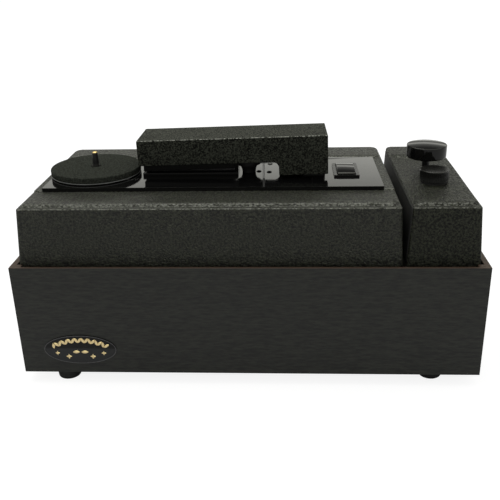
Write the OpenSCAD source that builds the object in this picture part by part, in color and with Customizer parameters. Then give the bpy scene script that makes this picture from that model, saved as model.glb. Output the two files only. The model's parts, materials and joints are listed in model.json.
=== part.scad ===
/* [Cabinet] */
// Width of the cabinet
cabinet_w = 486; // [470:1:520]
// Depth of the cabinet
cabinet_d = 252.8; // [248:0.2:280]
// Height of the cabinet panels
cabinet_h = 123.5; // [118:0.1:150]
// Thickness of the left and right panels
side_t = 6; // [4:0.1:7]
// Thickness of the front and back panels
front_t = 3.2; // [2:0.1:4]
// Thickness of the base panel
base_t = 6; // [4:0.1:8]
// Width of the corner posts
post_w = 6; // [4:0.1:10]
// Height of the feet
foot_h = 14; // [10:0.5:20]
// Radius of a foot at the base panel
foot_r = 13.5; // [13:0.1:16]
// Radius of a foot where it stands
foot_tip_r = 12; // [10:0.1:13]
// Distance of the left feet's centres from the cabinet's left side
foot_from_left = 42.5; // [30:0.5:70]
// Distance of the right feet's centres from the cabinet's right side
foot_from_right = 47; // [30:0.5:70]
// Distance of the left feet's centres from the cabinet's front or back
left_foot_in = 19; // [18:0.5:40]
// Distance of the right feet's centres from the cabinet's front or back
right_foot_in = 25; // [18:0.5:40]
// Radius of the foot screws
foot_screw_r = 2; // [1.5:0.1:2.4]

/* [Badge] */
// Width of the oval badge
badge_w = 78; // [60:1:90]
// Height of the oval badge
badge_h = 34; // [26:1:40]
// Thickness of the badge
badge_t = 1.2; // [0.8:0.1:2]
// Distance of the badge's centre from the cabinet's left side
badge_from_side = 64; // [50:0.5:90]
// Height of the badge's centre above the cabinet's lower edge
badge_up = 28.6; // [22:0.1:60]
// Height of the raised ornament on the badge
emblem_rise = 0.3; // [0.2:0.1:0.8]

/* [Covers] */
// Height of the covers above the cabinet's rim
cover_rise = 60.1; // [50:0.1:70]
// Depth of the covers' skirts below the rim
cover_skirt = 12; // [8:0.5:20]
// Distance from the cabinet's side to the covers at the rim
cover_from_side = 8.3; // [8:0.05:12]
// Distance from the cabinet's front or back to the covers at the rim
cover_from_front = 8.8; // [8:0.1:12]
// How far the covers' walls lean in over their height
cover_draft = 3.5; // [2:0.1:6]
// Wall of the covers
cover_wall = 2.5; // [2:0.1:3]
// How far the covers' rounded back corners reach along the back
cover_corner_w = 6; // [4:0.5:10]
// How far the covers' rounded back corners reach along the sides
cover_corner_d = 13; // [5:0.5:16]
// Radius of the covers' top edges at the front
cover_edge_r = 3; // [1:0.1:4]
// Gap between the two covers at the rim
covers_gap = 3.7; // [2:0.1:6]
// Width of the reservoir cover at the rim
reservoir_w = 73.5; // [68:0.5:90]
// Half width of the front bead
front_bead_hw = 6; // [4:0.1:8]
// Half width of the back bead
back_bead_hw = 7; // [5:0.1:9]
// Height of the beads
bead_rise = 2.4; // [1:0.1:3]
// Distance from a bead's round end to the cover's edge
bead_inset = 4; // [2:0.1:8]
// Distance from the covers' front edge to the middle of the front bead
front_bead_back = 13.8; // [12:0.1:20]
// Distance from the covers' back edge to the middle of the back bead
back_bead_in = 45; // [40:0.5:50]
// Step from the front strip up to the plateau
plateau_rise = 1.2; // [0.5:0.1:2]
// Width of the ledges that carry the covers
ledge_w = 12; // [10:0.5:20]
// Height of the ledges
ledge_h = 10; // [6:0.5:16]

/* [Deck] */
// Distance from the gloss deck plate's right end to the main cover's right edge
deck_from_edge = 14.6; // [12:0.05:20]
// Depth of the deck plate
deck_d = 113.8; // [110:0.1:118]
// Thickness of the deck plate
deck_t = 2.5; // [2:0.1:5]
// Distance from the cabinet's left side to the deck plate
deck_from_side = 21.2; // [19:0.1:24]
// Radius of the domed deck screws' heads
deck_screw_head_r = 2.9; // [2:0.1:4]
// Radius of the deck screws' shanks
deck_screw_r = 1.4; // [1:0.1:1.8]
// Length of the deck screws below their heads
deck_screw_len = 8; // [7:0.1:12]

/* [Platter] */
// Distance from the cabinet's left side to the platter's centre
platter_from_side = 67; // [64:0.1:80]
// Radius of the platter mat
platter_r = 50.4; // [40:0.1:51]
// Thickness of the platter plate
plate_t = 1.2; // [1:0.1:3]
// Gap between the deck and the platter plate
plate_gap = 0.8; // [0.5:0.1:2]
// Thickness of the platter mat
mat_t = 6.5; // [3:0.1:9]
// Radius of the hole in the middle of the mat
mat_hole_r = 5.5; // [4.5:0.1:8]
// Radius of the spindle that a record's hole goes over
spindle_r = 3.55; // [3.4:0.01:3.6]
// Height of the spindle's sleeve above the deck
spindle_h = 22.5; // [16:0.1:30]
// Radius of the brass tip
tip_r = 1.3; // [0.8:0.1:2]
// Height of the brass tip
tip_h = 2.6; // [1:0.1:4]
// Radius of the platter's drive shaft
shaft_r = 3; // [2:0.1:3.4]

/* [Platter drive] */
// Tooth size of the gears, pitch diameter over teeth
gear_module = 1; // [0.9:0.05:1.1]
// Teeth of the output gear
gear_teeth = 45; // [40:1:48]
// Teeth of the motor pinion, an odd number
pinion_teeth = 15; // [13:2:17]
// Face width of the output gear
gear_t = 7; // [4:0.5:10]
// Running clearance of shafts in their bearings
run_gap = 0.05; // [0.02:0.01:0.1]
// Wall of the gearbox housing
gearbox_wall = 2.5; // [2:0.1:4]
// Thickness of the gearbox plate
gearbox_plate_t = 2; // [1.5:0.1:3]
// Length of the gearbox's screw bosses
boss_l = 9; // [8:0.5:11]
// Depth of the screws in those bosses
boss_screw_l = 7; // [5:0.5:7.5]
// Radius of the platter motor
drive_motor_r = 18; // [14:0.5:22]
// Length of the platter motor
drive_motor_l = 42; // [30:1:50]
// Radius of the platter motor's shaft
motor_shaft_r = 1.6; // [1:0.1:2]

/* [Vacuum pads] */
// Distance from the platter's centre to the lower pad
pad_from_centre = 53.6; // [53:0.1:56]
// Distance from the lower pad's right end to the hinge's axis
pad_from_hinge = 88.5; // [88:0.1:92]
// Depth of the pads
pad_d = 32; // [24:0.5:40]
// Height of the lower pad's body
pad_h = 3.6; // [2.5:0.1:5]
// Thickness of the soft lips
lip_t = 1.2; // [0.8:0.1:1.6]
// Width of the soft lips on each side of the slot
lip_w = 6; // [3:0.5:8]
// Width of the suction slots
slot_w = 2.4; // [1.5:0.1:4]
// Distance from the pads' ends to the ends of their slots
slot_inset = 7; // [5:0.5:12]
// How far the upper pad's right end lies inside the lower pad's
upper_pad_inset = 3.7; // [2:0.1:6]
// Gap between the two pads' lips at rest
pad_gap = 0.3; // [0.2:0.1:0.6]

/* [Arm] */
// Distance from the lower pad's left end to the arm's left end
arm_end_in = 1.3; // [0.5:0.1:2.5]
// Depth of the arm
arm_d = 58.5; // [52:0.5:64]
// Height of the arm's top above the deck when it is level
arm_top = 47.8; // [44:0.1:56]
// Height of the arm's underside above the deck when it is level
arm_under = 19.6; // [19.5:0.1:22]
// Height of the hinge end's lower edge above the deck
arm_foot_up = 4.8; // [4.4:0.1:6]
// Length of the hinge end that reaches down
arm_foot_l = 52.2; // [40:0.2:56]
// Radius of the inside corner where the hinge end starts
arm_corner_r = 6.5; // [2:0.1:8]
// Wall of the arm's shell
arm_wall = 2.5; // [2:0.1:3]
// Angle by which the resting arm dips to the left
arm_dip = 1.26; // [1.1:0.01:1.5]
// Thickness of the plate that closes the arm's underside
arm_plate_t = 2.5; // [2:0.1:4]
// How far that plate lies above the shell's lower edge
arm_plate_up = 2; // [1:0.1:3]
// Radius of the nozzle at the deck
nozzle_r = 7.5; // [6:0.1:8.5]
// Radius of the nozzle at the arm
nozzle_top_r = 13.2; // [10:0.1:14]
// Height over which the nozzle flares out
nozzle_flare_h = 9; // [6:0.5:12]
// Bore of the nozzle
nozzle_bore_r = 5; // [3:0.1:5.5]
// Distance from the lower pad's end to the nozzle's axis
nozzle_from_pad = 11.2; // [9:0.1:14]
// Height of the air duct inside the arm
arm_duct_h = 14; // [10:0.5:18]
// Width of the air duct inside the arm
arm_duct_w = 18; // [16:0.5:24]

/* [Arm hinge] */
// Height of the hinge's axis above the deck
hinge_up = 14; // [13:0.1:15]
// Distance from the hinge's axis to the arm's right end at the back
hinge_to_end = 9.2; // [9:0.1:9.4]
// How much further right the arm's right end reaches at the front
arm_end_skew = 1; // [0.5:0.1:1.1]
// Radius of the hinge pin
hinge_pin_r = 2.5; // [2:0.1:3]
// Radius of the hinge bracket's ears and of the hinge block
hinge_ear_r = 5.8; // [5:0.1:5.9]
// Thickness of the bracket's ears
hinge_ear_t = 3; // [2:0.1:4]
// Width of the hinge block between the ears
hinge_block_w = 28; // [20:0.5:34]
// Clearance at each side of the hinge block
hinge_side_gap = 0.2; // [0.1:0.05:0.5]
// Thickness of the hinge bracket's foot
hinge_foot_t = 2; // [1.5:0.1:3]
// Width of the stop post
post_stop_w = 6.8; // [5:0.1:8]
// Depth of the stop post
post_stop_d = 5.8; // [4:0.1:8]
// Distance from the nozzle's axis to the stop post's middle
post_stop_from_nozzle = 15.2; // [12:0.1:18]

/* [Switch] */
// Width of the switch's bezel
bezel_w = 27.6; // [26:0.1:30]
// Depth of the switch's bezel
bezel_d = 47; // [44:0.5:50]
// Height of the bezel above the deck
bezel_h = 2.2; // [2:0.1:4]
// Width of the rocker
rocker_w = 20; // [16:0.1:22]
// Depth of the rocker
rocker_d = 41; // [36:0.5:42]
// Height of the rocker's ends above the deck
rocker_h = 3.9; // [3.5:0.1:6]
// How much the rocker's middle rises above its ends
rocker_crown = 1.5; // [0.5:0.1:2]
// Clearance around the rocker
rocker_gap = 0.4; // [0.2:0.1:0.8]
// Distance from the hinge's axis to the rocker's middle
switch_from_hinge = 31; // [30.5:0.1:35]
// Distance from the rocker's middle to the deck plate's right end
switch_from_end = 36.4; // [28:0.1:40]
// Depth of the switch's body below the deck
switch_body_h = 22; // [16:0.5:30]
// Wall of the switch's body
switch_wall = 1.6; // [1:0.1:2]
// Radius of the rocker's pivot
rocker_pivot_r = 1.5; // [1:0.1:2]

/* [Reservoir] */
// Distance from the cabinet's right side to the pump's axis
pump_from_side = 47; // [42:0.1:52]
// Distance of the pump's axis behind the cabinet's middle
pump_back = 5.6; // [5.4:0.1:8]
// Radius of the pump's knob
knob_r = 21.8; // [18:0.1:22]
// Height of the pump's knob
knob_h = 15.9; // [10:0.1:17]
// Height of the knob's underside above the cover
knob_up = 16.5; // [15:0.1:20]
// Height of the dome on the knob's top
knob_dome = 1.8; // [0.4:0.1:2]
// Radius of the pump's rod
rod_r = 4; // [3.5:0.05:5]
// Travel of the pump
pump_travel = 12; // [8:0.5:13]
// Outer radius of the pump's barrel
barrel_r = 12.5; // [12:0.1:13]
// Wall of the pump's barrel
barrel_wall = 2.2; // [1.5:0.1:3]
// Height of the rod's guide above the cover
guide_h = 1; // [0.5:0.1:1.5]
// Wall of the rod's guide
guide_wall = 1.8; // [1.2:0.1:2.5]
// Depth of the piston's top below the barrel's head
piston_down = 38; // [30:1:44]
// Length of the pump's spring when the pump is pressed
spring_pressed_l = 22; // [16:0.5:26]
// Radius of the spring's wire
spring_wire_r = 0.8; // [0.5:0.1:0.9]
// Distance from the cabinet's right side to the filler cap's axis
cap_from_side = 44; // [40:0.1:48]
// Distance of the filler cap's axis in front of the cabinet's middle
cap_front = 31.8; // [31.5:0.1:34]
// Radius of the filler cap
cap_r = 15.1; // [13:0.05:15.2]
// Height of the filler cap's top above the cover
cap_up = 13.4; // [11:0.1:16]
// Wall of the filler cap
cap_wall = 2.4; // [1.5:0.1:3]
// Ribs around the filler cap
cap_ribs = 48; // [24:1:60]
// Depth of the filler cap's ribs
cap_rib_depth = 0.4; // [0.2:0.1:0.8]
// Height of the ring below the filler cap
neck_ring_h = 1.4; // [1:0.1:2.5]
// Radius of the ring below the filler cap
neck_ring_r = 15.8; // [15:0.1:17]
// Wall of the tank and of its neck
tank_wall = 2; // [1.5:0.1:3]
// Length of the tank from front to back
tank_d = 190; // [150:1:200]
// Width of the tank
tank_w = 57.5; // [54:0.5:58]
// Gap between the tank's top and the cover
tank_gap = 3.7; // [2:0.1:6]

/* [Vacuum system] */
// Depth of the plenum below the cover
plenum_h = 20; // [14:0.5:26]
// Outer radius of the air hoses
hose_r = 11; // [9:0.5:12]
// Wall of the air hoses
hose_wall = 2; // [1.5:0.1:3]
// Length of the waste tank from left to right
waste_w = 150; // [120:1:155]
// Depth of the waste tank
waste_d = 140; // [100:1:150]
// Height of the waste tank
waste_h = 78; // [60:1:84]
// Distance from the hinge's axis to the blower's axis
blower_from_hinge = 20; // [16:0.5:24]
// Radius of the blower's housing
blower_r = 50; // [44:0.5:51]
// Height of the blower's housing
blower_h = 32; // [26:0.5:36]
// Radius of the blower's motor
blower_motor_r = 28; // [22:0.5:34]
// Height of the blower's motor
blower_motor_h = 38; // [30:0.5:42]
// Blades of the impeller
blades = 9; // [6:1:12]
// Width of the exhaust duct
exhaust_w = 44; // [36:0.5:50]
// Thickness of the power inlet's flange
inlet_flange_t = 1.2; // [0.8:0.1:2]
// Radius of the electric leads
lead_r = 2; // [1.5:0.1:2.5]
// Radius of the fluid tube
fluid_tube_r = 3; // [2:0.1:3.5]

/* [Hidden] */
$fn = 48;

// Colours
panel_black = [0.17, 0.175, 0.165];
cover_black = [0.19, 0.195, 0.18];
arm_black = [0.13, 0.135, 0.12];
gloss_black = [0.03, 0.03, 0.03];
rubber_black = [0.06, 0.06, 0.06];
mat_grey = [0.21, 0.22, 0.2];
gold = [0.83, 0.68, 0.35];
brass = [0.8, 0.62, 0.3];
steel = [0.62, 0.63, 0.65];
light_grey = [0.7, 0.7, 0.68];
cream = [0.85, 0.83, 0.76];

// Small clearances that are the same everywhere
seat_gap = 0.1;
soft_gap = 0.3;
cut = 1;

// Heights
z_base = foot_h;
z_floor = z_base + base_t;
z_rim = z_base + cabinet_h;
z_ledge = z_rim - cover_skirt;
z_cover = z_rim + cover_rise;
z_under = z_cover - cover_wall;
z_deck = z_cover + deck_t;

// Cabinet
half_w = cabinet_w / 2;
half_d = cabinet_d / 2;
inner_x = half_w - side_t;
inner_y = half_d - front_t;
foot_spots = [
  [foot_from_left - half_w, left_foot_in - half_d], [foot_from_left - half_w, half_d - left_foot_in],
  [half_w - foot_from_right, right_foot_in - half_d], [half_w - foot_from_right, half_d - right_foot_in]
];
foot_recess_h = foot_h / 3;
foot_recess_r = foot_screw_r + 2;

// Covers
res_x1 = half_w - cover_from_side;
res_x0 = res_x1 - reservoir_w;
main_x0 = cover_from_side - half_w;
main_x1 = res_x0 - covers_gap;
rail_x = res_x0 - covers_gap / 2;
cover_y = half_d - cover_from_front;
cover_top_y = cover_y - cover_draft;
front_bead_y = front_bead_back - cover_top_y;
back_bead_y = cover_top_y - back_bead_in;
post_d = cover_from_front - front_t - soft_gap;

// Deck
deck_x0 = deck_from_side - half_w;
deck_x1 = main_x1 - deck_from_edge;
switch_x = deck_x1 - switch_from_end;
hinge_x = switch_x - switch_from_hinge;
plateau_y = -deck_d / 2 - 0.6;
groove_r = 1.4;
reservoir_step_y = front_bead_y + front_bead_hw + 2 * groove_r + 0.5;

// Platter and its drive
platter_x = platter_from_side - half_w;
z_mat = z_deck + plate_gap + plate_t;
z_record = z_mat + mat_t;
z_sleeve = z_deck + spindle_h;
gear_r = gear_module * gear_teeth / 2;
pinion_r = gear_module * pinion_teeth / 2;
gear_play = 0.2;
motor_x = platter_x + gear_r + pinion_r + gear_play;
bearing_r = shaft_r + 3;
gear_side_gap = 1.5;
gear_top_space = 5;
z_plate = z_under - gearbox_plate_t;
z_gear_top = z_plate - gear_top_space;
z_gear = z_gear_top - gear_t;
z_gearbox_floor = z_gear - gear_side_gap;
z_gearbox = z_gearbox_floor - gearbox_wall;
gearbox_end = gear_r + gear_module + gear_side_gap + gearbox_wall;
gearbox_x1 = motor_x + pinion_r + gear_module + gear_side_gap + gearbox_wall;
gearbox_screw_r = 1.5;
gearbox_screw_at = 0.72 * platter_r;
gearbox_screw_head_r = 2 * gearbox_screw_r;
boss_r = gearbox_screw_r + 2.2;
rib_hw = boss_r - 1;

// Pads
pad_x0 = platter_x + pad_from_centre;
pad_x1 = hinge_x - pad_from_hinge;
z_pad = z_deck + pad_h;
z_lips = z_pad + lip_t;
slot_x0 = pad_x0 + slot_inset;
slot_x1 = pad_x1 - slot_inset;

// Arm, in its own frame: the hinge's axis is the origin and the arm is level
hinge_z = z_deck + hinge_up;
arm_x1 = hinge_to_end;
arm_x2 = arm_x1 + arm_end_skew;
arm_x0 = pad_x0 + arm_end_in - hinge_x;
arm_foot_x = arm_x1 - arm_foot_l;
arm_z1 = arm_top - hinge_up;
arm_z0 = arm_under - hinge_up;
arm_foot_z = arm_foot_up - hinge_up;
arm_in_x0 = arm_x0 + arm_wall;
arm_in_x1 = arm_x1 - arm_wall;
arm_in_y = arm_d / 2 - arm_wall;
arm_in_z = arm_z1 - arm_wall;
plate_z0 = arm_z0 + arm_plate_up;
plate_z1 = plate_z0 + arm_plate_t;
upad_x0 = arm_in_x0 + soft_gap;
upad_x1 = pad_x1 - upper_pad_inset - hinge_x;
upad_lip_z = z_lips + pad_gap - hinge_z - upad_x0 * sin(arm_dip);
upad_z = upad_lip_z + lip_t;
uslot_x0 = upad_x0 + slot_inset;
uslot_x1 = upad_x1 - slot_inset;
nozzle_x = pad_x1 + nozzle_from_pad;
nozzle_ax = (nozzle_x - hinge_x);
nozzle_z = soft_gap - hinge_up - (nozzle_ax - nozzle_r) * sin(arm_dip);
duct_wall = 1.6;
duct_x0 = uslot_x0 - duct_wall - 2;
duct_x1 = nozzle_ax + nozzle_bore_r + duct_wall + 2;

// Hinge
block_hw = hinge_block_w / 2;
ear_y = block_hw + hinge_side_gap;
bracket_y = ear_y + hinge_ear_t;
bracket_foot_l = 16;
bracket_screw_x = 3.6 - bracket_foot_l;
bracket_screw_y = 9;
hinge_slot_y = bracket_y + 1;
hinge_slot_z = hinge_ear_r - 0.8;
stop_x = nozzle_x + post_stop_from_nozzle;
stop_y0 = -arm_in_y + soft_gap;
stop_left = stop_x - post_stop_w / 2 - hinge_x;
z_stop = hinge_z + plate_z0 * cos(arm_dip) + stop_left * sin(arm_dip) - soft_gap;

// Screws in the deck: three that show, and two under the arm that hold the hinge's bracket
deck_screw_spots = [
  [nozzle_x + 11.3, 0.4], [nozzle_x + 23, -2.6], [nozzle_x + 23.2, 30.2],
  [hinge_x + bracket_screw_x, bracket_screw_y], [hinge_x + bracket_screw_x, -bracket_screw_y]
];

// Switch
rocker_hw = rocker_w / 2;
rocker_hd = rocker_d / 2;
pocket_hw = rocker_hw + rocker_gap;
pocket_hd = rocker_hd + rocker_gap + 0.9;
switch_body_hw = pocket_hw + switch_wall;
switch_body_hd = pocket_hd + switch_wall;
pivot_z = z_deck - 4;
rocker_arc_r = (pow(rocker_hd, 2) + pow(rocker_crown, 2)) / (2 * rocker_crown);
rocker_foot_r = 3.4;
rocker_lead_in = 5;

// Reservoir
pump_x = half_w - pump_from_side;
pump_y = pump_back;
z_knob = z_cover + knob_up;
z_knob_top = z_knob + knob_h;
z_guide = z_cover + guide_h;
guide_r = rod_r + guide_wall;
barrel_bore_r = barrel_r - barrel_wall;
barrel_head = 6;
piston_t = 8;
piston_gap = 0.05;
z_barrel_bore = z_cover - barrel_head;
z_piston_top = z_barrel_bore - piston_down;
z_piston = z_piston_top - piston_t;
spring_l = spring_pressed_l + pump_travel;
z_spring = z_piston - spring_l;
z_barrel = z_spring - barrel_wall;
rod_in_knob = 8;
spring_turns = 6;
spring_r = barrel_bore_r - spring_wire_r - 1.4;
cap_x = half_w - cap_from_side;
cap_y = -cap_front;
z_cap_top = z_cover + cap_up;
z_cap_in = z_cap_top - cap_wall;
liner_t = 0.8;
z_neck = z_cap_in - liner_t;
cap_bore_r = cap_r - cap_wall - 1;
neck_r = cap_bore_r - 0.4;
z_cap = z_cover + neck_ring_h + soft_gap;
z_tank = z_under - tank_gap;
tank_x1 = inner_x - ledge_w - 0.5;
tank_x0 = tank_x1 - tank_w;
dip_r = 3.4;

// Vacuum system
plenum_x0 = pad_x0 - 2;
plenum_x1 = nozzle_x + 14;
plenum_hd = 14;
plenum_wall = 2;
z_plenum = z_under - plenum_h;
blower_x = hinge_x + blower_from_hinge;
waste_x1 = blower_x - blower_r - 5;
waste_x0 = waste_x1 - waste_w;
z_waste = z_floor + waste_h;
waste_wall = 2;
hose_x = (plenum_x0 + plenum_x1) / 2;
hose_bore_r = hose_r - hose_wall;
spigot_r = hose_bore_r - seat_gap;
spigot_l = 10;
suction_x = waste_x1 - hose_r - 6;
z_blower = z_floor + blower_motor_h;
z_blower_lid = z_blower + blower_h;
lid_t = 2.5;
z_lid_top = z_blower_lid + lid_t;
z_suction = max(z_waste, z_lid_top) + hose_r + 3;
blower_wall = 2.5;
impeller_r = blower_r - blower_wall - 5;
z_impeller = z_blower + blower_wall + 3;
impeller_h = blower_h - blower_wall - 8;
blower_shaft_r = 3;
exhaust_hw = exhaust_w / 2;
exhaust_wall = 2;
z_exhaust0 = z_blower + 3;
z_exhaust1 = z_blower_lid - 3;
vents = 7;
vent_w = 3;
inlet_x = -half_w + 83;
inlet_z = z_floor + 30;
inlet_hw = 12;
inlet_hh = 9;
inlet_depth = 18;

function arc(c, r, a0, a1, n) = [for (i = [0 : n]) c + r * [cos(a0 + (a1 - a0) * i / n), sin(a0 + (a1 - a0) * i / n)]];
function oval(rx, ry, n) = [for (i = [0 : n - 1]) [rx * cos(360 * i / n), ry * sin(360 * i / n)]];

// Involute gear outline, with the angle of a point on a flank worked out from its radius
pressure_angle = 20;
backlash = 0.25;
function roll(rb, r) = r <= rb ? 0 : sqrt(pow(r / rb, 2) - 1) * 180 / PI - acos(rb / r);
function flank(rp, rb, n, r) = 90 / n - backlash / rp * 90 / PI + roll(rb, rp) - roll(rb, r);
function polar(r, a) = [r * cos(a), r * sin(a)];
function tooth(rp, rb, rr, ra, n, a) = concat(
  [polar(rr, a - flank(rp, rb, n, rb))],
  [for (i = [0 : 4]) let (r = max(rb, rr) + (ra - max(rb, rr)) * i / 4) polar(r, a - flank(rp, rb, n, r))],
  [for (i = [4 : -1 : 0]) let (r = max(rb, rr) + (ra - max(rb, rr)) * i / 4) polar(r, a + flank(rp, rb, n, r))],
  [polar(rr, a + flank(rp, rb, n, rb))]);
function gear_outline(n) =
  let (rp = gear_module * n / 2, rb = rp * cos(pressure_angle), rr = rp - 1.3 * gear_module)
  [for (k = [0 : n - 1]) each tooth(rp, rb, rr, rp + 0.85 * gear_module, n, 360 * k / n)];

// A box between two corners
module box(lo, hi) {
  translate(lo) cube(hi - lo);
}

// A round bar between two points
module bar(a, b, r) {
  d = b - a;
  translate(a) rotate([0, acos(d[2] / norm(d)), atan2(d[1], d[0])]) cylinder(h = norm(d), r = r);
}

// A round bar through a list of points, with slightly fuller balls at its corners
module bar_path(points, r) {
  for (i = [0 : len(points) - 2]) {
    bar(points[i], points[i + 1], r);
  }
  if (len(points) > 2) {
    for (i = [1 : len(points) - 2]) {
      translate(points[i]) sphere(r = 1.08 * r);
    }
  }
}

// A disc or a tube that stands on the given height
module ring(r, bore, z0, z1) {
  translate([0, 0, z0]) difference() {
    cylinder(h = z1 - z0, r = r);
    translate([0, 0, -cut]) cylinder(h = z1 - z0 + 2 * cut, r = bore);
  }
}

module disc(r, z0, z1) {
  translate([0, 0, z0]) cylinder(h = z1 - z0, r = r);
}

module at_feet() {
  for (spot = foot_spots) {
    translate(spot) children();
  }
}

module at_hinge() {
  translate([hinge_x, 0, hinge_z]) rotate([0, -arm_dip, 0]) children();
}

// Cabinet
module cabinet_front() {
  color(panel_black) box([-half_w, -half_d, z_base], [half_w, -inner_y, z_rim]);
}

module cabinet_back() {
  color(panel_black) difference() {
    box([-half_w, inner_y, z_base], [half_w, half_d, z_rim]);
    for (i = [0 : vents - 1]) {
      x = blower_x + (i - (vents - 1) / 2) * (exhaust_w - 4) / vents;
      box([x - vent_w / 2, inner_y - cut, z_exhaust0 + 3], [x + vent_w / 2, half_d + cut, z_exhaust1 - 3]);
    }
    box([inlet_x - inlet_hw - seat_gap, inner_y - cut, inlet_z - inlet_hh - seat_gap],
        [inlet_x + inlet_hw + seat_gap, half_d + cut, inlet_z + inlet_hh + seat_gap]);
  }
}

module side_panel() {
  box([-half_w, -inner_y, z_base], [-inner_x, inner_y, z_rim]);
}

module cabinet_left() {
  color(panel_black) side_panel();
}

module cabinet_right() {
  color(panel_black) mirror([1, 0, 0]) side_panel();
}

module cabinet_base() {
  color(panel_black) difference() {
    box([-inner_x, -inner_y, z_base], [inner_x, inner_y, z_floor]);
    at_feet() disc(foot_screw_r + run_gap, z_base - cut, z_floor + cut);
  }
}

module corner_posts() {
  color(panel_black) for (sx = [-1, 1], sy = [-1, 1]) {
    scale_x = sx > 0 ? inner_x - post_w : -inner_x;
    scale_y = sy > 0 ? inner_y - post_d : -inner_y;
    box([scale_x, scale_y, z_floor], [scale_x + post_w, scale_y + post_d, z_rim]);
  }
}

module feet() {
  edge = 1.2;
  color(rubber_black) at_feet() difference() {
    rotate_extrude() polygon(concat(
      [[0, 0]],
      arc([foot_tip_r - edge, edge], edge, -90, 0, 4),
      [[foot_r, foot_h], [0, foot_h]]));
    disc(foot_screw_r + run_gap, -cut, foot_h + cut);
    disc(foot_recess_r, -cut, foot_recess_h);
  }
}

module foot_screws() {
  color(steel) at_feet() {
    disc(foot_screw_r, foot_recess_h, z_floor);
    disc(foot_recess_r - 0.3, foot_recess_h - 1.8, foot_recess_h);
  }
}

// Badge
module at_badge() {
  translate([badge_from_side - half_w, -half_d, z_base + badge_up]) rotate([90, 0, 0]) children();
}

module badge_plate() {
  color(gloss_black) at_badge() linear_extrude(height = badge_t - emblem_rise)
    polygon(oval(badge_w / 2, badge_h / 2, 72));
}

module badge_emblem() {
  line = 0.8;
  rx = badge_w / 2 - 2.4;
  ry = badge_h / 2 - 2.4;
  diamond = badge_h / 5;
  color(gold) at_badge() translate([0, 0, badge_t - emblem_rise]) linear_extrude(height = emblem_rise) {
    difference() {
      polygon(oval(rx, ry, 72));
      polygon(oval(rx - line, ry - line, 72));
    }
    polygon([[diamond * 1.6, 0], [0, diamond], [-diamond * 1.6, 0], [0, -diamond]]);
    for (side = [-1, 1]) {
      for (i = [0 : 2]) {
        translate([side * (badge_w * 0.21 + i * badge_w * 0.065), 0]) circle(r = badge_h * (0.05 - 0.01 * i), $fn = 24);
      }
    }
  }
}

// Ledges on the panels, with a cross rail below the gap between the covers
module cover_ledges() {
  color(panel_black) difference() {
    box([-inner_x, -inner_y, z_ledge - ledge_h], [inner_x, inner_y, z_ledge]);
    box([-inner_x + ledge_w, -inner_y + ledge_w, z_ledge - ledge_h - cut],
        [rail_x - ledge_w / 2, inner_y - ledge_w, z_ledge + cut]);
    box([rail_x + ledge_w / 2, -inner_y + ledge_w, z_ledge - ledge_h - cut],
        [inner_x - ledge_w, inner_y - ledge_w, z_ledge + cut]);
    for (sx = [-1, 1], sy = [-1, 1]) {
      cx = sx * (inner_x - post_w / 2);
      cy = sy * (inner_y - post_d / 2);
      hx = post_w / 2 + seat_gap;
      hy = post_d / 2 + seat_gap;
      box([cx - hx, cy - hy, z_ledge - ledge_h - cut], [cx + hx, cy + hy, z_ledge + cut]);
    }
  }
}

// A cover's outline from the front, as wide as the cover and drawn in by the wall
module cover_front_outline(x0, x1, t) {
  top = cover_rise - t;
  lean = cover_draft * top / cover_rise;
  polygon([[x0 + t, -cover_skirt - (t > 0 ? cut : 0)], [x1 - t, -cover_skirt - (t > 0 ? cut : 0)], [x1 - t, 0],
    [x1 - t - lean, top], [x0 + t + lean, top], [x0 + t, 0]]);
}

// A cover's outline from the side, with its front a step below the plateau
module cover_side_outline(t, step_y) {
  y = cover_y - t;
  top = cover_rise - t;
  lean = cover_draft * top / cover_rise;
  strip = top - plateau_rise;
  r = t > 0 ? 0.5 : cover_edge_r;
  polygon(concat(
    [[-y, -cover_skirt - (t > 0 ? cut : 0)], [y, -cover_skirt - (t > 0 ? cut : 0)], [y, 0]],
    arc([y - lean - r, top - r], r, 0, 90, 4),
    [[step_y + 1.5 + t, top], [step_y + t, strip]],
    arc([-y + lean + r, strip - r], r, 90, 180, 4),
    [[-y, 0]]));
}

module cover_block(x0, x1, t, step_y) {
  rx = max(cover_corner_w - t, 1);
  ry = max(cover_corner_d - t, 1);
  intersection() {
    translate([0, cabinet_d, z_rim]) rotate([90, 0, 0]) linear_extrude(height = 2 * cabinet_d)
      cover_front_outline(x0, x1, t);
    translate([x0 - cut, 0, z_rim]) rotate([90, 0, 90]) linear_extrude(height = x1 - x0 + 2 * cut)
      cover_side_outline(t, step_y);
    translate([0, 0, z_ledge - 2 * cut]) linear_extrude(height = cover_skirt + cover_rise + 4 * cut) union() {
      translate([x0 + t, -cover_y + t]) square([x1 - x0 - 2 * t, 2 * (cover_y - t) - ry]);
      translate([x0 + t + rx, -cover_y + t]) square([x1 - x0 - 2 * (t + rx), 2 * (cover_y - t)]);
      for (x = [x0 + t + rx, x1 - t - rx]) {
        translate([x, cover_y - t - ry]) polygon(oval(rx, ry, 48));
      }
    }
  }
}

// A low round bead along X, with a ball at an end that stops short
module bead(x0, x1, y, z, hw, ball0, ball1) {
  r = (hw * hw + bead_rise * bead_rise) / (2 * bead_rise);
  translate([0, y, z + bead_rise - r]) {
    translate([x0, 0, 0]) rotate([0, 90, 0]) cylinder(h = x1 - x0, r = r);
    if (ball0) {
      translate([x0, 0, 0]) sphere(r = r);
    }
    if (ball1) {
      translate([x1, 0, 0]) sphere(r = r);
    }
  }
}

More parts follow.
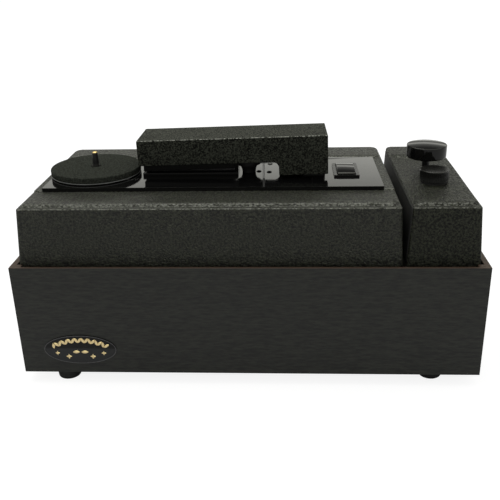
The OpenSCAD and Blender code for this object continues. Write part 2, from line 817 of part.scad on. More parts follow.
// A cover with its two beads, which start at its left edge or stop short of it
module cover_shell(x0, x1, round_left, step_y) {
  bead_end = cover_draft + bead_inset;
  front_x0 = round_left ? x0 + bead_end + front_bead_hw : x0 + cover_draft;
  front_x1 = x1 - bead_end - front_bead_hw;
  back_x0 = round_left ? x0 + bead_end + back_bead_hw : x0 + cover_draft;
  back_x1 = x1 - bead_end - back_bead_hw;
  z_strip = z_cover - plateau_rise;
  difference() {
    union() {
      difference() {
        cover_block(x0, x1, 0, step_y);
        for (s = [-1, 1]) {
          translate([x0, front_bead_y + s * (front_bead_hw + groove_r), z_strip + 0.4]) rotate([0, 90, 0])
            cylinder(h = x1 - x0, r = groove_r);
        }
      }
      intersection() {
        bead(front_x0, front_x1, front_bead_y, z_strip, front_bead_hw, round_left, true);
        box([x0, -half_d, z_strip - 1.5], [x1, half_d, z_cover + 5]);
      }
      intersection() {
        bead(back_x0, back_x1, back_bead_y, z_cover, back_bead_hw, round_left, true);
        box([x0, -half_d, z_cover - 1.5], [x1, half_d, z_cover + 5]);
      }
    }
    cover_block(x0, x1, cover_wall, step_y);
  }
}

module main_cover() {
  color(cover_black) difference() {
    cover_shell(main_x0, main_x1, false, plateau_y);
    translate([platter_x, 0, 0]) {
      disc(bearing_r + seat_gap, z_under - cut, z_cover + 2 * cut);
      at_gearbox_screws() disc(gearbox_screw_r + seat_gap, z_under - cut, z_cover + 2 * cut);
    }
    box([slot_x0, -slot_w / 2, z_under - cut], [slot_x1, slot_w / 2, z_cover + 2 * cut]);
    translate([nozzle_x, 0, 0]) disc(nozzle_bore_r, z_under - cut, z_cover + 2 * cut);
    box([switch_x - switch_body_hw - seat_gap, -switch_body_hd - seat_gap, z_under - cut],
        [switch_x + switch_body_hw + seat_gap, switch_body_hd + seat_gap, z_cover + 2 * cut]);
    at_deck_screws() disc(deck_screw_r + seat_gap, z_under - cut, z_cover + 2 * cut);
  }
}

module reservoir_cover() {
  color(cover_black) difference() {
    union() {
      cover_shell(res_x0, res_x1, true, reservoir_step_y);
      translate([cap_x, cap_y, 0]) disc(neck_ring_r, z_under, z_cover + neck_ring_h);
    }
    translate([cap_x, cap_y, 0]) disc(neck_r + soft_gap, z_under - cut, z_cover + 3 * cut);
    translate([pump_x, pump_y, 0]) disc(guide_r + seat_gap, z_under - cut, z_cover + 2 * cut);
  }
}

// Deck
module at_deck_screws(first = 0, last = len(deck_screw_spots) - 1) {
  for (i = [first : last]) {
    translate(deck_screw_spots[i]) children();
  }
}

module deck_plate() {
  color(gloss_black) difference() {
    box([deck_x0, -deck_d / 2, z_cover], [deck_x1, deck_d / 2, z_deck]);
    translate([platter_x, 0, 0]) {
      disc(bearing_r + 1, z_cover - cut, z_deck + cut);
      at_gearbox_screws() {
        disc(gearbox_screw_r + seat_gap, z_cover - cut, z_deck + cut);
        translate([0, 0, z_deck - gearbox_screw_r])
          cylinder(h = gearbox_screw_r, r1 = gearbox_screw_r + seat_gap, r2 = gearbox_screw_head_r + seat_gap);
      }
    }
    box([slot_x0, -slot_w / 2, z_cover - cut], [slot_x1, slot_w / 2, z_deck + cut]);
    translate([nozzle_x, 0, 0]) disc(nozzle_bore_r, z_cover - cut, z_deck + cut);
    box([switch_x - switch_body_hw - seat_gap, -switch_body_hd - seat_gap, z_cover - cut],
        [switch_x + switch_body_hw + seat_gap, switch_body_hd + seat_gap, z_deck + cut]);
    at_deck_screws() disc(deck_screw_r + seat_gap, z_cover - cut, z_deck + cut);
  }
}

// One domed screw with its head on the given height
module deck_screw(z) {
  dome_r = 1.6 * deck_screw_head_r;
  dome_h = dome_r - sqrt(pow(dome_r, 2) - pow(deck_screw_head_r, 2));
  disc(deck_screw_r, z - deck_screw_len, z + 0.5);
  disc(deck_screw_head_r, z, z + 0.4);
  translate([0, 0, z + 0.4 + dome_h - dome_r]) intersection() {
    sphere(r = dome_r);
    disc(deck_screw_head_r, dome_r - dome_h, dome_r + cut);
  }
}

module deck_screws() {
  color(gloss_black) {
    at_deck_screws(0, 2) deck_screw(z_deck);
    at_deck_screws(3, 4) deck_screw(z_deck + hinge_foot_t);
  }
}

// Platter
module platter_plate() {
  color(gloss_black) translate([platter_x, 0, 0]) difference() {
    union() {
      disc(platter_r - 0.6, z_deck + plate_gap, z_mat);
      disc(mat_hole_r - 0.2, z_deck + plate_gap - 0.5, z_mat + 3);
    }
    disc(shaft_r + 0.02, z_deck - cut, z_record);
  }
}

module platter_mat() {
  color(mat_grey) translate([platter_x, 0, 0]) ring(platter_r, mat_hole_r, z_mat, z_record);
}

module spindle() {
  color(rubber_black) translate([platter_x, 0, 0]) {
    disc(shaft_r, z_gearbox + 0.5, z_sleeve - 2);
    disc(spindle_r, z_mat + 3, z_sleeve);
  }
}

module spindle_tip() {
  color(brass) translate([platter_x, 0, 0]) {
    disc(tip_r, z_sleeve, z_sleeve + tip_h - tip_r);
    translate([0, 0, z_sleeve + tip_h - tip_r]) sphere(r = tip_r);
  }
}

// Platter drive
module output_gear() {
  color(cream) translate([platter_x, 0, 0]) difference() {
    union() {
      translate([0, 0, z_gear]) linear_extrude(height = gear_t) polygon(gear_outline(gear_teeth));
      disc(bearing_r, z_gear_top, z_gear_top + 2);
    }
    disc(shaft_r + 0.02, z_gear - cut, z_plate);
  }
}

module shaft_bearings() {
  color(brass) translate([platter_x, 0, 0]) {
    ring(bearing_r, shaft_r + run_gap, z_gear_top + 2.2, z_cover);
    ring(bearing_r - 1, shaft_r + run_gap, z_gearbox, z_gear - 0.2);
  }
}

module at_gearbox_screws() {
  for (a = [60, 120, 240, 300]) {
    rotate([0, 0, a]) translate([gearbox_screw_at, 0, 0]) children();
  }
}

module gearbox_outline(t) {
  r = gearbox_end - t;
  x1 = gearbox_x1 - platter_x - t;
  y1 = drive_motor_r + gearbox_wall - t;
  circle(r = r);
  translate([0, -y1]) square([x1, 2 * y1]);
}

module gearbox_housing() {
  color(cream) translate([platter_x, 0, 0]) difference() {
    union() {
      translate([0, 0, z_gearbox]) linear_extrude(height = z_plate - z_gearbox) gearbox_outline(0);
      at_gearbox_screws() {
        disc(boss_r, z_plate - boss_l, z_plate);
        box([-gearbox_screw_at + gearbox_end - 1, -rib_hw, z_plate - boss_l], [0, rib_hw, z_plate]);
      }
    }
    translate([0, 0, z_gearbox_floor]) linear_extrude(height = z_plate - z_gearbox_floor + cut)
      gearbox_outline(gearbox_wall);
    at_gearbox_screws() disc(gearbox_screw_r + 0.02, z_plate - boss_screw_l, z_plate + cut);
    disc(bearing_r - 1 + 0.02, z_gearbox - cut, z_gearbox_floor + cut);
    translate([motor_x - platter_x, 0, 0]) {
      disc(motor_shaft_r + 1, z_gearbox - cut, z_gearbox_floor + cut);
      for (s = [-1, 1]) {
        translate([0, s * drive_motor_r * 0.68, 0]) disc(gearbox_screw_r + seat_gap, z_gearbox - cut, z_gear);
      }
    }
  }
}

module gearbox_plate() {
  color(steel) translate([platter_x, 0, 0]) difference() {
    union() {
      translate([0, 0, z_plate]) linear_extrude(height = gearbox_plate_t) gearbox_outline(0);
      at_gearbox_screws() {
        disc(boss_r, z_plate, z_under);
        box([-gearbox_screw_at + gearbox_end - 1, -rib_hw, z_plate], [0, rib_hw, z_under]);
      }
    }
    disc(bearing_r + 0.02, z_plate - cut, z_under + cut);
    at_gearbox_screws() disc(gearbox_screw_r + seat_gap, z_plate - cut, z_under + cut);
  }
}

module gearbox_screws() {
  color(steel) {
    translate([platter_x, 0, 0]) at_gearbox_screws() {
      disc(gearbox_screw_r, z_plate - 6, z_deck - 0.2);
      translate([0, 0, z_deck - gearbox_screw_r])
        cylinder(h = gearbox_screw_r, r1 = gearbox_screw_r, r2 = gearbox_screw_head_r);
    }
    for (s = [-1, 1]) {
      translate([motor_x, s * drive_motor_r * 0.68, 0]) {
        disc(gearbox_screw_r, z_gearbox - 3, z_gearbox_floor);
        disc(gearbox_screw_head_r, z_gearbox_floor, z_gearbox_floor + 1.4);
      }
    }
  }
}

module platter_motor() {
  color(steel) translate([motor_x, 0, 0]) difference() {
    disc(drive_motor_r, z_gearbox - drive_motor_l, z_gearbox);
    disc(motor_shaft_r + run_gap, z_gearbox - 0.6 * drive_motor_l, z_gearbox + cut);
    for (s = [-1, 1]) {
      translate([0, s * drive_motor_r * 0.68, 0]) disc(gearbox_screw_r + 0.02, z_gearbox - 4, z_gearbox + cut);
    }
  }
}

module motor_pinion() {
  color(brass) translate([motor_x, 0, 0]) {
    translate([0, 0, z_gear]) linear_extrude(height = gear_t) polygon(gear_outline(pinion_teeth));
    disc(motor_shaft_r, z_gearbox - 0.6 * drive_motor_l + 0.5, z_gear + 1);
  }
}

// Lower vacuum pad
module lower_pad() {
  color(gloss_black) difference() {
    box([pad_x0, -pad_d / 2, z_deck], [pad_x1, pad_d / 2, z_pad]);
    box([slot_x0, -slot_w / 2, z_deck - cut], [slot_x1, slot_w / 2, z_pad + cut]);
  }
}

module lip_pair(x0, x1, z0, z1) {
  for (s = [-1, 1]) {
    y0 = s > 0 ? slot_w / 2 + 0.4 : -slot_w / 2 - 0.4 - lip_w;
    box([x0, y0, z0], [x1, y0 + lip_w, z1]);
  }
}

module lower_lips() {
  color(rubber_black) lip_pair(pad_x0 + 2, pad_x1 - 2, z_pad, z_lips);
}

module vacuum_plenum() {
  w = plenum_wall;
  color(cream) difference() {
    union() {
      box([plenum_x0, -plenum_hd, z_plenum], [plenum_x1, plenum_hd, z_under]);
      translate([hose_x, 0, 0]) disc(spigot_r, z_plenum - spigot_l, z_plenum + 1);
    }
    box([plenum_x0 + w, -plenum_hd + w, z_plenum + w], [plenum_x1 - w, plenum_hd - w, z_under - w]);
    box([slot_x0, -slot_w / 2, z_under - 2 * w], [slot_x1, slot_w / 2, z_under + cut]);
    translate([nozzle_x, 0, 0]) disc(nozzle_bore_r, z_under - 2 * w, z_under + cut);
    translate([hose_x, 0, 0]) disc(spigot_r - plenum_wall, z_plenum - spigot_l - cut, z_plenum + w + cut);
    at_deck_screws(0, 1) disc(deck_screw_r + 0.02, z_under - 2 * w, z_under + cut);
  }
}

module vacuum_hose() {
  color(rubber_black) translate([hose_x, 0, 0]) ring(hose_r, hose_bore_r, z_waste, z_plenum);
}

module waste_tank() {
  w = waste_wall;
  color(cream) difference() {
    union() {
      box([waste_x0, -waste_d / 2, z_floor], [waste_x1, waste_d / 2, z_waste]);
      for (x = [hose_x, suction_x]) {
        translate([x, 0, 0]) disc(spigot_r, z_waste - 1, z_waste + spigot_l);
      }
    }
    box([waste_x0 + w, -waste_d / 2 + w, z_floor + w], [waste_x1 - w, waste_d / 2 - w, z_waste - w]);
    for (x = [hose_x, suction_x]) {
      translate([x, 0, 0]) disc(spigot_r - plenum_wall, z_waste - w - cut, z_waste + spigot_l + cut);
    }
  }
}

module suction_duct() {
  route = [[suction_x, 0, z_waste], [suction_x, 0, z_suction], [blower_x, 0, z_suction], [blower_x, 0, z_lid_top]];
  hollow = [[suction_x, 0, z_waste - cut], route[1], route[2], [blower_x, 0, z_lid_top - cut]];
  color(rubber_black) difference() {
    bar_path(route, hose_r);
    bar_path(hollow, hose_bore_r);
  }
}

// Blower
module blower_housing() {
  w = blower_wall;
  color(cream) translate([blower_x, 0, 0]) difference() {
    disc(blower_r, z_blower, z_blower_lid);
    disc(blower_r - w, z_blower + w, z_blower_lid + cut);
    disc(blower_shaft_r + 1, z_blower - cut, z_blower + 2 * w);
    box([-exhaust_hw + exhaust_wall, 0, z_exhaust0 + exhaust_wall],
        [exhaust_hw - exhaust_wall, blower_r + cut, z_exhaust1 - exhaust_wall]);
  }
}

module blower_lid() {
  color(cream) translate([blower_x, 0, 0]) ring(blower_r, hose_bore_r, z_blower_lid, z_lid_top);
}

module impeller() {
  color(steel) translate([blower_x, 0, 0]) {
    disc(impeller_r, z_impeller, z_impeller + 1.5);
    disc(blower_shaft_r + 3, z_impeller, z_impeller + impeller_h * 0.6);
    disc(blower_shaft_r, z_floor + 8, z_impeller + 1);
    for (i = [0 : blades - 1]) {
      rotate([0, 0, i * 360 / blades])
        box([blower_shaft_r + 1, -0.8, z_impeller + 1], [impeller_r - 1, 0.8, z_impeller + impeller_h]);
    }
  }
}

module blower_motor() {
  color(steel) translate([blower_x, 0, 0]) difference() {
    disc(blower_motor_r, z_floor, z_blower);
    disc(blower_shaft_r + run_gap, z_floor + 6, z_blower + cut);
  }
}

module exhaust_duct() {
  t = exhaust_wall;
  color(cream) difference() {
    box([blower_x - exhaust_hw, 0, z_exhaust0], [blower_x + exhaust_hw, inner_y, z_exhaust1]);
    box([blower_x - exhaust_hw + t, -cut, z_exhaust0 + t], [blower_x + exhaust_hw - t, inner_y + cut, z_exhaust1 - t]);
    translate([blower_x, 0, 0]) disc(blower_r + 0.02, z_exhaust0 - cut, z_exhaust1 + cut);
  }
}

// Arm
module arm_outline() {
  r = arm_corner_r;
  polygon(concat(
    [[arm_x0, arm_z0], [arm_x0, arm_z1], [arm_x2, arm_z1], [arm_x2, arm_foot_z], [arm_foot_x, arm_foot_z]],
    arc([arm_foot_x - r, arm_z0 - r], r, 0, 90, 6)));
}

// The arm's outline from above, with its slanted right end
module arm_plan() {
  polygon([[arm_x0 - cut, -arm_d / 2], [arm_x2, -arm_d / 2], [arm_x1, arm_d / 2], [arm_x0 - cut, arm_d / 2]]);
}

module arm_shell() {
  color(arm_black) at_hinge() difference() {
    intersection() {
      translate([0, arm_d / 2, 0]) rotate([90, 0, 0]) linear_extrude(height = arm_d) arm_outline();
      translate([0, 0, arm_foot_z - cut]) linear_extrude(height = arm_top + 2 * cut) arm_plan();
    }
    box([arm_in_x0, -arm_in_y, arm_foot_z - cut], [arm_in_x1, arm_in_y, arm_in_z]);
    box([arm_in_x1 - cut, -hinge_slot_y, arm_foot_z - cut], [arm_x2 + cut, hinge_slot_y, hinge_slot_z]);
  }
}

module arm_base_plate() {
  color(arm_black) at_hinge() difference() {
    box([arm_in_x0, -arm_in_y, plate_z0], [arm_foot_x, arm_in_y, plate_z1]);
    box([uslot_x0, -slot_w / 2, plate_z0 - cut], [uslot_x1, slot_w / 2, plate_z1 + cut]);
    translate([nozzle_ax, 0, 0]) disc(nozzle_bore_r, plate_z0 - cut, plate_z1 + cut);
  }
}

module upper_pad() {
  color(gloss_black) at_hinge() difference() {
    box([upad_x0, -pad_d / 2, upad_z], [upad_x1, pad_d / 2, plate_z0]);
    box([uslot_x0, -slot_w / 2, upad_z - cut], [uslot_x1, slot_w / 2, plate_z0 + cut]);
  }
}

module upper_lips() {
  color(rubber_black) at_hinge() lip_pair(upad_x0 + 2, upad_x1 - 2, upad_lip_z, upad_z);
}

module arm_duct() {
  t = duct_wall;
  hw = arm_duct_w / 2;
  color(cream) at_hinge() difference() {
    box([duct_x0, -hw, plate_z1], [duct_x1, hw, plate_z1 + arm_duct_h]);
    box([duct_x0 + t, -hw + t, plate_z1 - cut], [duct_x1 - t, hw - t, plate_z1 + arm_duct_h - t]);
  }
}

module duct_nozzle() {
  h = plate_z0 - nozzle_z;
  flare = nozzle_top_r - nozzle_r;
  color(rubber_black) at_hinge() translate([nozzle_ax, 0, nozzle_z]) difference() {
    rotate_extrude() polygon(concat(
      [[0, 0]],
      [for (i = [0 : 6]) [nozzle_r + flare * (1 - cos(15 * i)), nozzle_flare_h * sin(15 * i)]],
      [[nozzle_top_r, h], [0, h]]));
    translate([0, 0, -cut]) cylinder(h = h + 2 * cut, r = nozzle_bore_r);
  }
}

// Arm hinge
module hinge_block() {
  r = hinge_ear_r;
  color(light_grey) at_hinge() difference() {
    union() {
      translate([0, block_hw, 0]) rotate([90, 0, 0]) cylinder(h = 2 * block_hw, r = r);
      box([-r, -block_hw, 0], [r, block_hw, arm_in_z]);
    }
    translate([0, block_hw + cut, 0]) rotate([90, 0, 0]) cylinder(h = 2 * (block_hw + cut), r = hinge_pin_r + run_gap);
  }
}

module hinge_bracket() {
  r = hinge_ear_r;
  color(gloss_black) translate([hinge_x, 0, 0]) difference() {
    union() {
      box([-bracket_foot_l, -bracket_y, z_deck], [r, bracket_y, z_deck + hinge_foot_t]);
      for (y = [-bracket_y, ear_y]) {
        box([-r, y, z_deck], [r, y + hinge_ear_t, hinge_z]);
        translate([0, y + hinge_ear_t, hinge_z]) rotate([90, 0, 0]) cylinder(h = hinge_ear_t, r = r);
      }
    }
    translate([0, bracket_y + cut, hinge_z]) rotate([90, 0, 0])
      cylinder(h = 2 * (bracket_y + cut), r = hinge_pin_r + 0.01);
    for (y = [-bracket_screw_y, bracket_screw_y]) {
      translate([bracket_screw_x, y, 0]) disc(deck_screw_r + seat_gap, z_deck - cut, z_deck + hinge_foot_t + cut);
    }
  }
}

module hinge_pin() {
  color(steel) translate([hinge_x, bracket_y, hinge_z]) rotate([90, 0, 0])
    cylinder(h = 2 * bracket_y, r = hinge_pin_r);
}

module arm_stop_post() {
  color(light_grey) box([stop_x - post_stop_w / 2, stop_y0, z_deck], [stop_x + post_stop_w / 2, stop_y0 + post_stop_d, z_stop]);
}

// Switch
module switch_bezel() {
  z0 = z_deck - switch_body_h;
  color(gloss_black) difference() {
    union() {
      box([switch_x - bezel_w / 2, -bezel_d / 2, z_deck], [switch_x + bezel_w / 2, bezel_d / 2, z_deck + bezel_h]);
      box([switch_x - switch_body_hw, -switch_body_hd, z0], [switch_x + switch_body_hw, switch_body_hd, z_deck]);
    }
    box([switch_x - pocket_hw, -pocket_hd, z0 + 6], [switch_x + pocket_hw, pocket_hd, z_deck + bezel_h + cut]);
    translate([switch_x - bezel_w, 0, pivot_z]) rotate([0, 90, 0]) cylinder(h = 2 * bezel_w, r = rocker_pivot_r + 0.01);
  }
}

// The rocker's outline from the side, with its pivot at the origin
module rocker_outline() {
  top = z_deck + rocker_h - pivot_z;
  swing = asin(rocker_hd / rocker_arc_r);
  polygon(concat(
    [[-rocker_hd, top - 4], [-rocker_foot_r, -rocker_lead_in], [rocker_foot_r, -rocker_lead_in], [rocker_hd, top - 4]],
    arc([0, top + rocker_crown - rocker_arc_r], rocker_arc_r, 90 - swing, 90 + swing, 8)));
}

module switch_rocker() {
  color(gloss_black) translate([switch_x - rocker_hw, 0, pivot_z]) difference() {
    rotate([90, 0, 90]) linear_extrude(height = rocker_w) rocker_outline();
    translate([-cut, 0, 0]) rotate([0, 90, 0]) cylinder(h = rocker_w + 2 * cut, r = rocker_pivot_r + run_gap);
  }
}

module switch_pivot() {
  color(steel) translate([switch_x - switch_body_hw, 0, pivot_z]) rotate([0, 90, 0])
    cylinder(h = 2 * switch_body_hw, r = rocker_pivot_r);
}

// Reservoir
module reservoir_tank() {
  t = tank_wall;
  color(cream) difference() {
    union() {
      box([tank_x0, -tank_d / 2, z_floor], [tank_x1, tank_d / 2, z_tank]);
      translate([cap_x, cap_y, 0]) disc(neck_r, z_tank - 1, z_neck);
    }
    box([tank_x0 + t, -tank_d / 2 + t, z_floor + t], [tank_x1 - t, tank_d / 2 - t, z_tank - t]);
    translate([cap_x, cap_y, 0]) disc(neck_r - t, z_tank - t - cut, z_neck + cut);
    translate([pump_x, pump_y, 0]) disc(barrel_r + seat_gap, z_tank - t - cut, z_tank + cut);
  }
}

module pump_barrel() {
  color(gloss_black) translate([pump_x, pump_y, 0]) difference() {
    union() {
      disc(barrel_r, z_barrel, z_under);
      disc(guide_r, z_under, z_guide);
      disc(dip_r, z_floor + 6, z_barrel);
    }
    disc(barrel_bore_r, z_spring, z_barrel_bore);
    disc(rod_r + run_gap, z_barrel_bore - cut, z_guide + cut);
    disc(dip_r - 1.4, z_floor, z_spring + cut);
  }
}

module pump_rod() {
  color(gloss_black) translate([pump_x, pump_y, 0]) {
    disc(rod_r, z_piston, z_knob + rod_in_knob);
    disc(barrel_bore_r - piston_gap, z_piston, z_piston_top);
  }
}

// The knob's lower edge is rounded, and its top is a low dome inside a narrow bevel
module pump_knob() {
  edge = 2;
  bevel = 0.5;
  dome_r = (pow(knob_r - bevel, 2) + pow(knob_dome, 2)) / (2 * knob_dome);
  swing = asin((knob_r - bevel) / dome_r);
  color(gloss_black) translate([pump_x, pump_y, z_knob]) difference() {
    rotate_extrude() polygon(concat(
      [[0, 0]],
      arc([knob_r - edge, edge], edge, -90, 0, 4),
      [[knob_r, knob_h - knob_dome - bevel]],
      arc([0, knob_h - dome_r], dome_r, 90 - swing, 90, 6)));
    disc(rod_r + 0.02, -cut, rod_in_knob);
  }
}

// One round wire that winds up steadily, as rings of points joined by triangles
module pump_spring() {
  steps = 16 * spring_turns;
  sides = 6;
  lift = spring_l - 2 * spring_wire_r - 0.2;
  points = [for (i = [0 : steps], k = [0 : sides - 1])
    let (a = 360 * spring_turns * i / steps, b = 360 * k / sides, r = spring_r + spring_wire_r * cos(b))
    [r * cos(a), r * sin(a), spring_wire_r + 0.1 + lift * i / steps + spring_wire_r * sin(b)]];
  walls = [for (i = [0 : steps - 1], k = [0 : sides - 1])
    let (a = i * sides, b = (i + 1) * sides, n = (k + 1) % sides)
    each [[a + k, b + k, b + n], [a + k, b + n, a + n]]];
  ends = concat(
    [for (k = [1 : sides - 2]) [0, k, k + 1]],
    [for (k = [1 : sides - 2]) [steps * sides, steps * sides + k + 1, steps * sides + k]]);
  color(steel) translate([pump_x, pump_y, z_spring]) polyhedron(points = points, faces = concat(walls, ends));
}

module filler_cap() {
  rib_r = cap_rib_depth;
  color(gloss_black) translate([cap_x, cap_y, 0]) difference() {
    rotate_extrude() polygon([[0, z_cap], [cap_r - 0.4, z_cap], [cap_r, z_cap + 0.4], [cap_r, z_cap_top - 0.8],
      [cap_r - 0.8, z_cap_top], [cap_r - 2, z_cap_top], [cap_r - 3, z_cap_top - 0.8], [0, z_cap_top - 0.8]]);
    disc(cap_bore_r, z_cap - cut, z_cap_in);
    for (i = [0 : cap_ribs - 1]) {
      rotate([0, 0, i * 360 / cap_ribs]) translate([cap_r + 0.1, 0, 0])
        translate([0, 0, z_cap + 0.8]) cylinder(h = z_cap_top - z_cap - 2.2, r = rib_r, $fn = 6);
    }
  }
}

module cap_liner() {
  color(cream) translate([cap_x, cap_y, 0]) disc(cap_bore_r - 0.1, z_neck, z_cap_in);
}

// Fluid tube from the tank's side up to the plenum
module fluid_tube() {
  z_low = (z_lid_top + z_ledge - ledge_h) / 2;
  z_high = z_plenum + plenum_h / 2;
  y_out = -(blower_r + inner_y - ledge_w) / 2;
  x_up = waste_x1;
  x_mid = tank_x0 - 8;
  route = [[tank_x0, pump_y, z_low], [x_mid, pump_y, z_low], [x_mid, y_out, z_low], [x_up, y_out, z_low],
           [x_up, y_out, z_high], [x_up, -6, z_high], [plenum_x1, -6, z_high]];
  color(light_grey) bar_path(route, fluid_tube_r);
}

// Electrics
module power_inlet() {
  flange = 4;
  color(rubber_black) difference() {
    union() {
      box([inlet_x - inlet_hw, inner_y - inlet_depth, inlet_z - inlet_hh], [inlet_x + inlet_hw, half_d, inlet_z + inlet_hh]);
      box([inlet_x - inlet_hw - flange, half_d, inlet_z - inlet_hh - flange],
          [inlet_x + inlet_hw + flange, half_d + inlet_flange_t, inlet_z + inlet_hh + flange]);
    }
    box([inlet_x - inlet_hw + 1.5, inner_y - inlet_depth + 2.5, inlet_z - inlet_hh + 1.5],
        [inlet_x + inlet_hw - 1.5, half_d + inlet_flange_t + cut, inlet_z + inlet_hh - 1.5]);
  }
  color(steel) for (i = [-1 : 1]) {
    x = inlet_x + i * 6.5;
    z = inlet_z + (i == 0 ? 2.5 : -1.5);
    box([x - 1, inner_y - inlet_depth + 2, z - 2], [x + 1, half_d - 2, z + 2]);
  }
}

module wiring() {
  y_back = inner_y - inlet_depth - 10;
  z_run = z_rim + 3.4;
  z_switch = z_deck - switch_body_h;
  x_right = rail_x - ledge_w / 2 - lead_r - soft_gap;
  z_low = z_floor + blower_motor_h / 2;
  color(rubber_black) {
    bar_path([[inlet_x, inner_y - inlet_depth, inlet_z], [inlet_x, y_back, inlet_z], [inlet_x, y_back, z_run],
              [switch_x, y_back, z_run], [switch_x, 12, z_run], [switch_x, 12, z_switch]], lead_r);
    bar_path([[motor_x, y_back, z_run], [motor_x, drive_motor_r, z_run]], lead_r);
    bar_path([[switch_x, y_back, z_run], [x_right, y_back, z_run], [x_right, y_back, z_low], [x_right, 0, z_low],
              [blower_x + blower_motor_r, 0, z_low]], lead_r);
  }
}

cabinet_front();
cabinet_back();
cabinet_left();
cabinet_right();
cabinet_base();
corner_posts();
feet();
foot_screws();
badge_plate();
badge_emblem();
cover_ledges();
main_cover();
reservoir_cover();
deck_plate();
deck_screws();
platter_plate();
platter_mat();
spindle();
spindle_tip();
output_gear();
shaft_bearings();
gearbox_housing();
gearbox_plate();
gearbox_screws();
platter_motor();
motor_pinion();
lower_pad();
lower_lips();
vacuum_plenum();
vacuum_hose();
waste_tank();
suction_duct();
blower_housing();
blower_lid();
impeller();
blower_motor();
exhaust_duct();
arm_shell();
arm_base_plate();
upper_pad();
upper_lips();
arm_duct();
duct_nozzle();
hinge_block();
hinge_bracket();
hinge_pin();
arm_stop_post();
switch_bezel();
switch_rocker();
switch_pivot();
reservoir_tank();
pump_barrel();
pump_rod();
pump_knob();
pump_spring();
filler_cap();
cap_liner();
fluid_tube();
power_inlet();
wiring();
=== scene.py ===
import json
import math

import bmesh
import bpy
from mathutils import Matrix, Vector


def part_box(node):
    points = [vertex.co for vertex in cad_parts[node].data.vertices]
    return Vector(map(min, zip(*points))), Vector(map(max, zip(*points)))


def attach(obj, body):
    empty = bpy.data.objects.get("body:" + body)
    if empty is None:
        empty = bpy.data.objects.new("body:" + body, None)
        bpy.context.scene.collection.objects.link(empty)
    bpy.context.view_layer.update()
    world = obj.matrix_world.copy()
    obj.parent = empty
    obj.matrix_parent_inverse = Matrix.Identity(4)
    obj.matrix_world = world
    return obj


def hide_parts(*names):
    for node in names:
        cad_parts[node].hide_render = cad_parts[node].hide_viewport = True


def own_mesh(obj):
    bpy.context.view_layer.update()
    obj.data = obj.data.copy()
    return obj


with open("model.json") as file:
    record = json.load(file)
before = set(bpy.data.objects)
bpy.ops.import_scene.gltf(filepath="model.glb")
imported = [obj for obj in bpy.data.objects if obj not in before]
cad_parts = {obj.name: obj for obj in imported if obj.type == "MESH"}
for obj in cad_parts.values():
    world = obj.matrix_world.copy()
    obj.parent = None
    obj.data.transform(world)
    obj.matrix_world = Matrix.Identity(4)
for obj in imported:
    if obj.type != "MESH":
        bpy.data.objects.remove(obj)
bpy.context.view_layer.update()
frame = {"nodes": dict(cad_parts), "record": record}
nodes = frame["nodes"]

MM = 0.001
SLOT_OF = {part["node"]: part["material_slot"] for part in frame["record"]["subparts"]}
BODY_OF = {node: body for body, names in frame["record"]["behaviour"]["bodies"].items() for node in names}
WELD_REACH = 0.002 * MM


# Camera
CAMERA_ANGLES = (22.912, -3.403, -1.4143)
CAMERA_SPOT = (0.043075, -0.772104, 0.430605)
FOCAL_LENGTH = 51.064
SENSOR_WIDTH = 36


def make_camera():
    """The main camera, from its pitch, yaw and roll in degrees and its spot in metres."""
    pitch, yaw, roll = (math.radians(angle) for angle in CAMERA_ANGLES)
    forward = Vector((math.sin(yaw) * math.cos(pitch), math.cos(yaw) * math.cos(pitch), -math.sin(pitch)))
    right = Vector((math.cos(yaw), -math.sin(yaw), 0))
    up = right.cross(forward)
    camera_x = math.cos(roll) * right + math.sin(roll) * up
    camera_y = -math.sin(roll) * right + math.cos(roll) * up
    data = bpy.data.cameras.new("camera")
    data.lens = FOCAL_LENGTH
    data.sensor_width = SENSOR_WIDTH
    data.clip_start = 0.01
    camera = bpy.data.objects.new("camera", data)
    bpy.context.scene.collection.objects.link(camera)
    turn = Matrix((camera_x, camera_y, -forward)).transposed().to_4x4()
    camera.matrix_world = Matrix.Translation(CAMERA_SPOT) @ turn
    bpy.context.scene.camera = camera


# Node and material helpers
def add(tree, kind, inputs=None, **settings):
    """A node with its settings, and its inputs linked to sockets or set to values."""
    node = tree.nodes.new(kind)
    for name, value in settings.items():
        setattr(node, name, value)
    for name, value in (inputs or {}).items():
        socket = node.inputs[name]
        if isinstance(value, bpy.types.NodeSocket):
            tree.links.new(value, socket)
        else:
            socket.default_value = value
    return node


def place(tree, scale=(1, 1, 1)):
    """The point on the surface in the part's own frame, stretched by scale."""
    spot = add(tree, "ShaderNodeTexCoord").outputs["Object"]
    return add(tree, "ShaderNodeMapping", {"Vector": spot, "Scale": scale}).outputs["Vector"]


def noise(tree, scale, detail=2.0, stretch=(1, 1, 1), rough=0.5):
    """A noise field in the part's own frame."""
    inputs = {"Vector": place(tree, stretch), "Scale": scale, "Detail": detail, "Roughness": rough}
    return add(tree, "ShaderNodeTexNoise", inputs).outputs["Fac"]


def span(tree, value, low, high, to_low=0.0, to_high=1.0):
    """A value moved from one range to another, and held inside it."""
    inputs = {"Value": value, "From Min": low, "From Max": high, "To Min": to_low, "To Max": to_high}
    return add(tree, "ShaderNodeMapRange", inputs).outputs["Result"]


def mix(tree, factor, a, b):
    """A color between a and b, each a color or a socket."""
    node = add(tree, "ShaderNodeMix", data_type="RGBA")
    for name, value in (("Factor", factor), ("A", a), ("B", b)):
        socket = next(s for s in node.inputs if s.name == name and s.type in ("RGBA", "VALUE")
                      and (s.type == "RGBA") == (name != "Factor"))
        if isinstance(value, bpy.types.NodeSocket):
            tree.links.new(value, socket)
        else:
            socket.default_value = value if name == "Factor" else (*value, 1)
    return next(s for s in node.outputs if s.type == "RGBA")


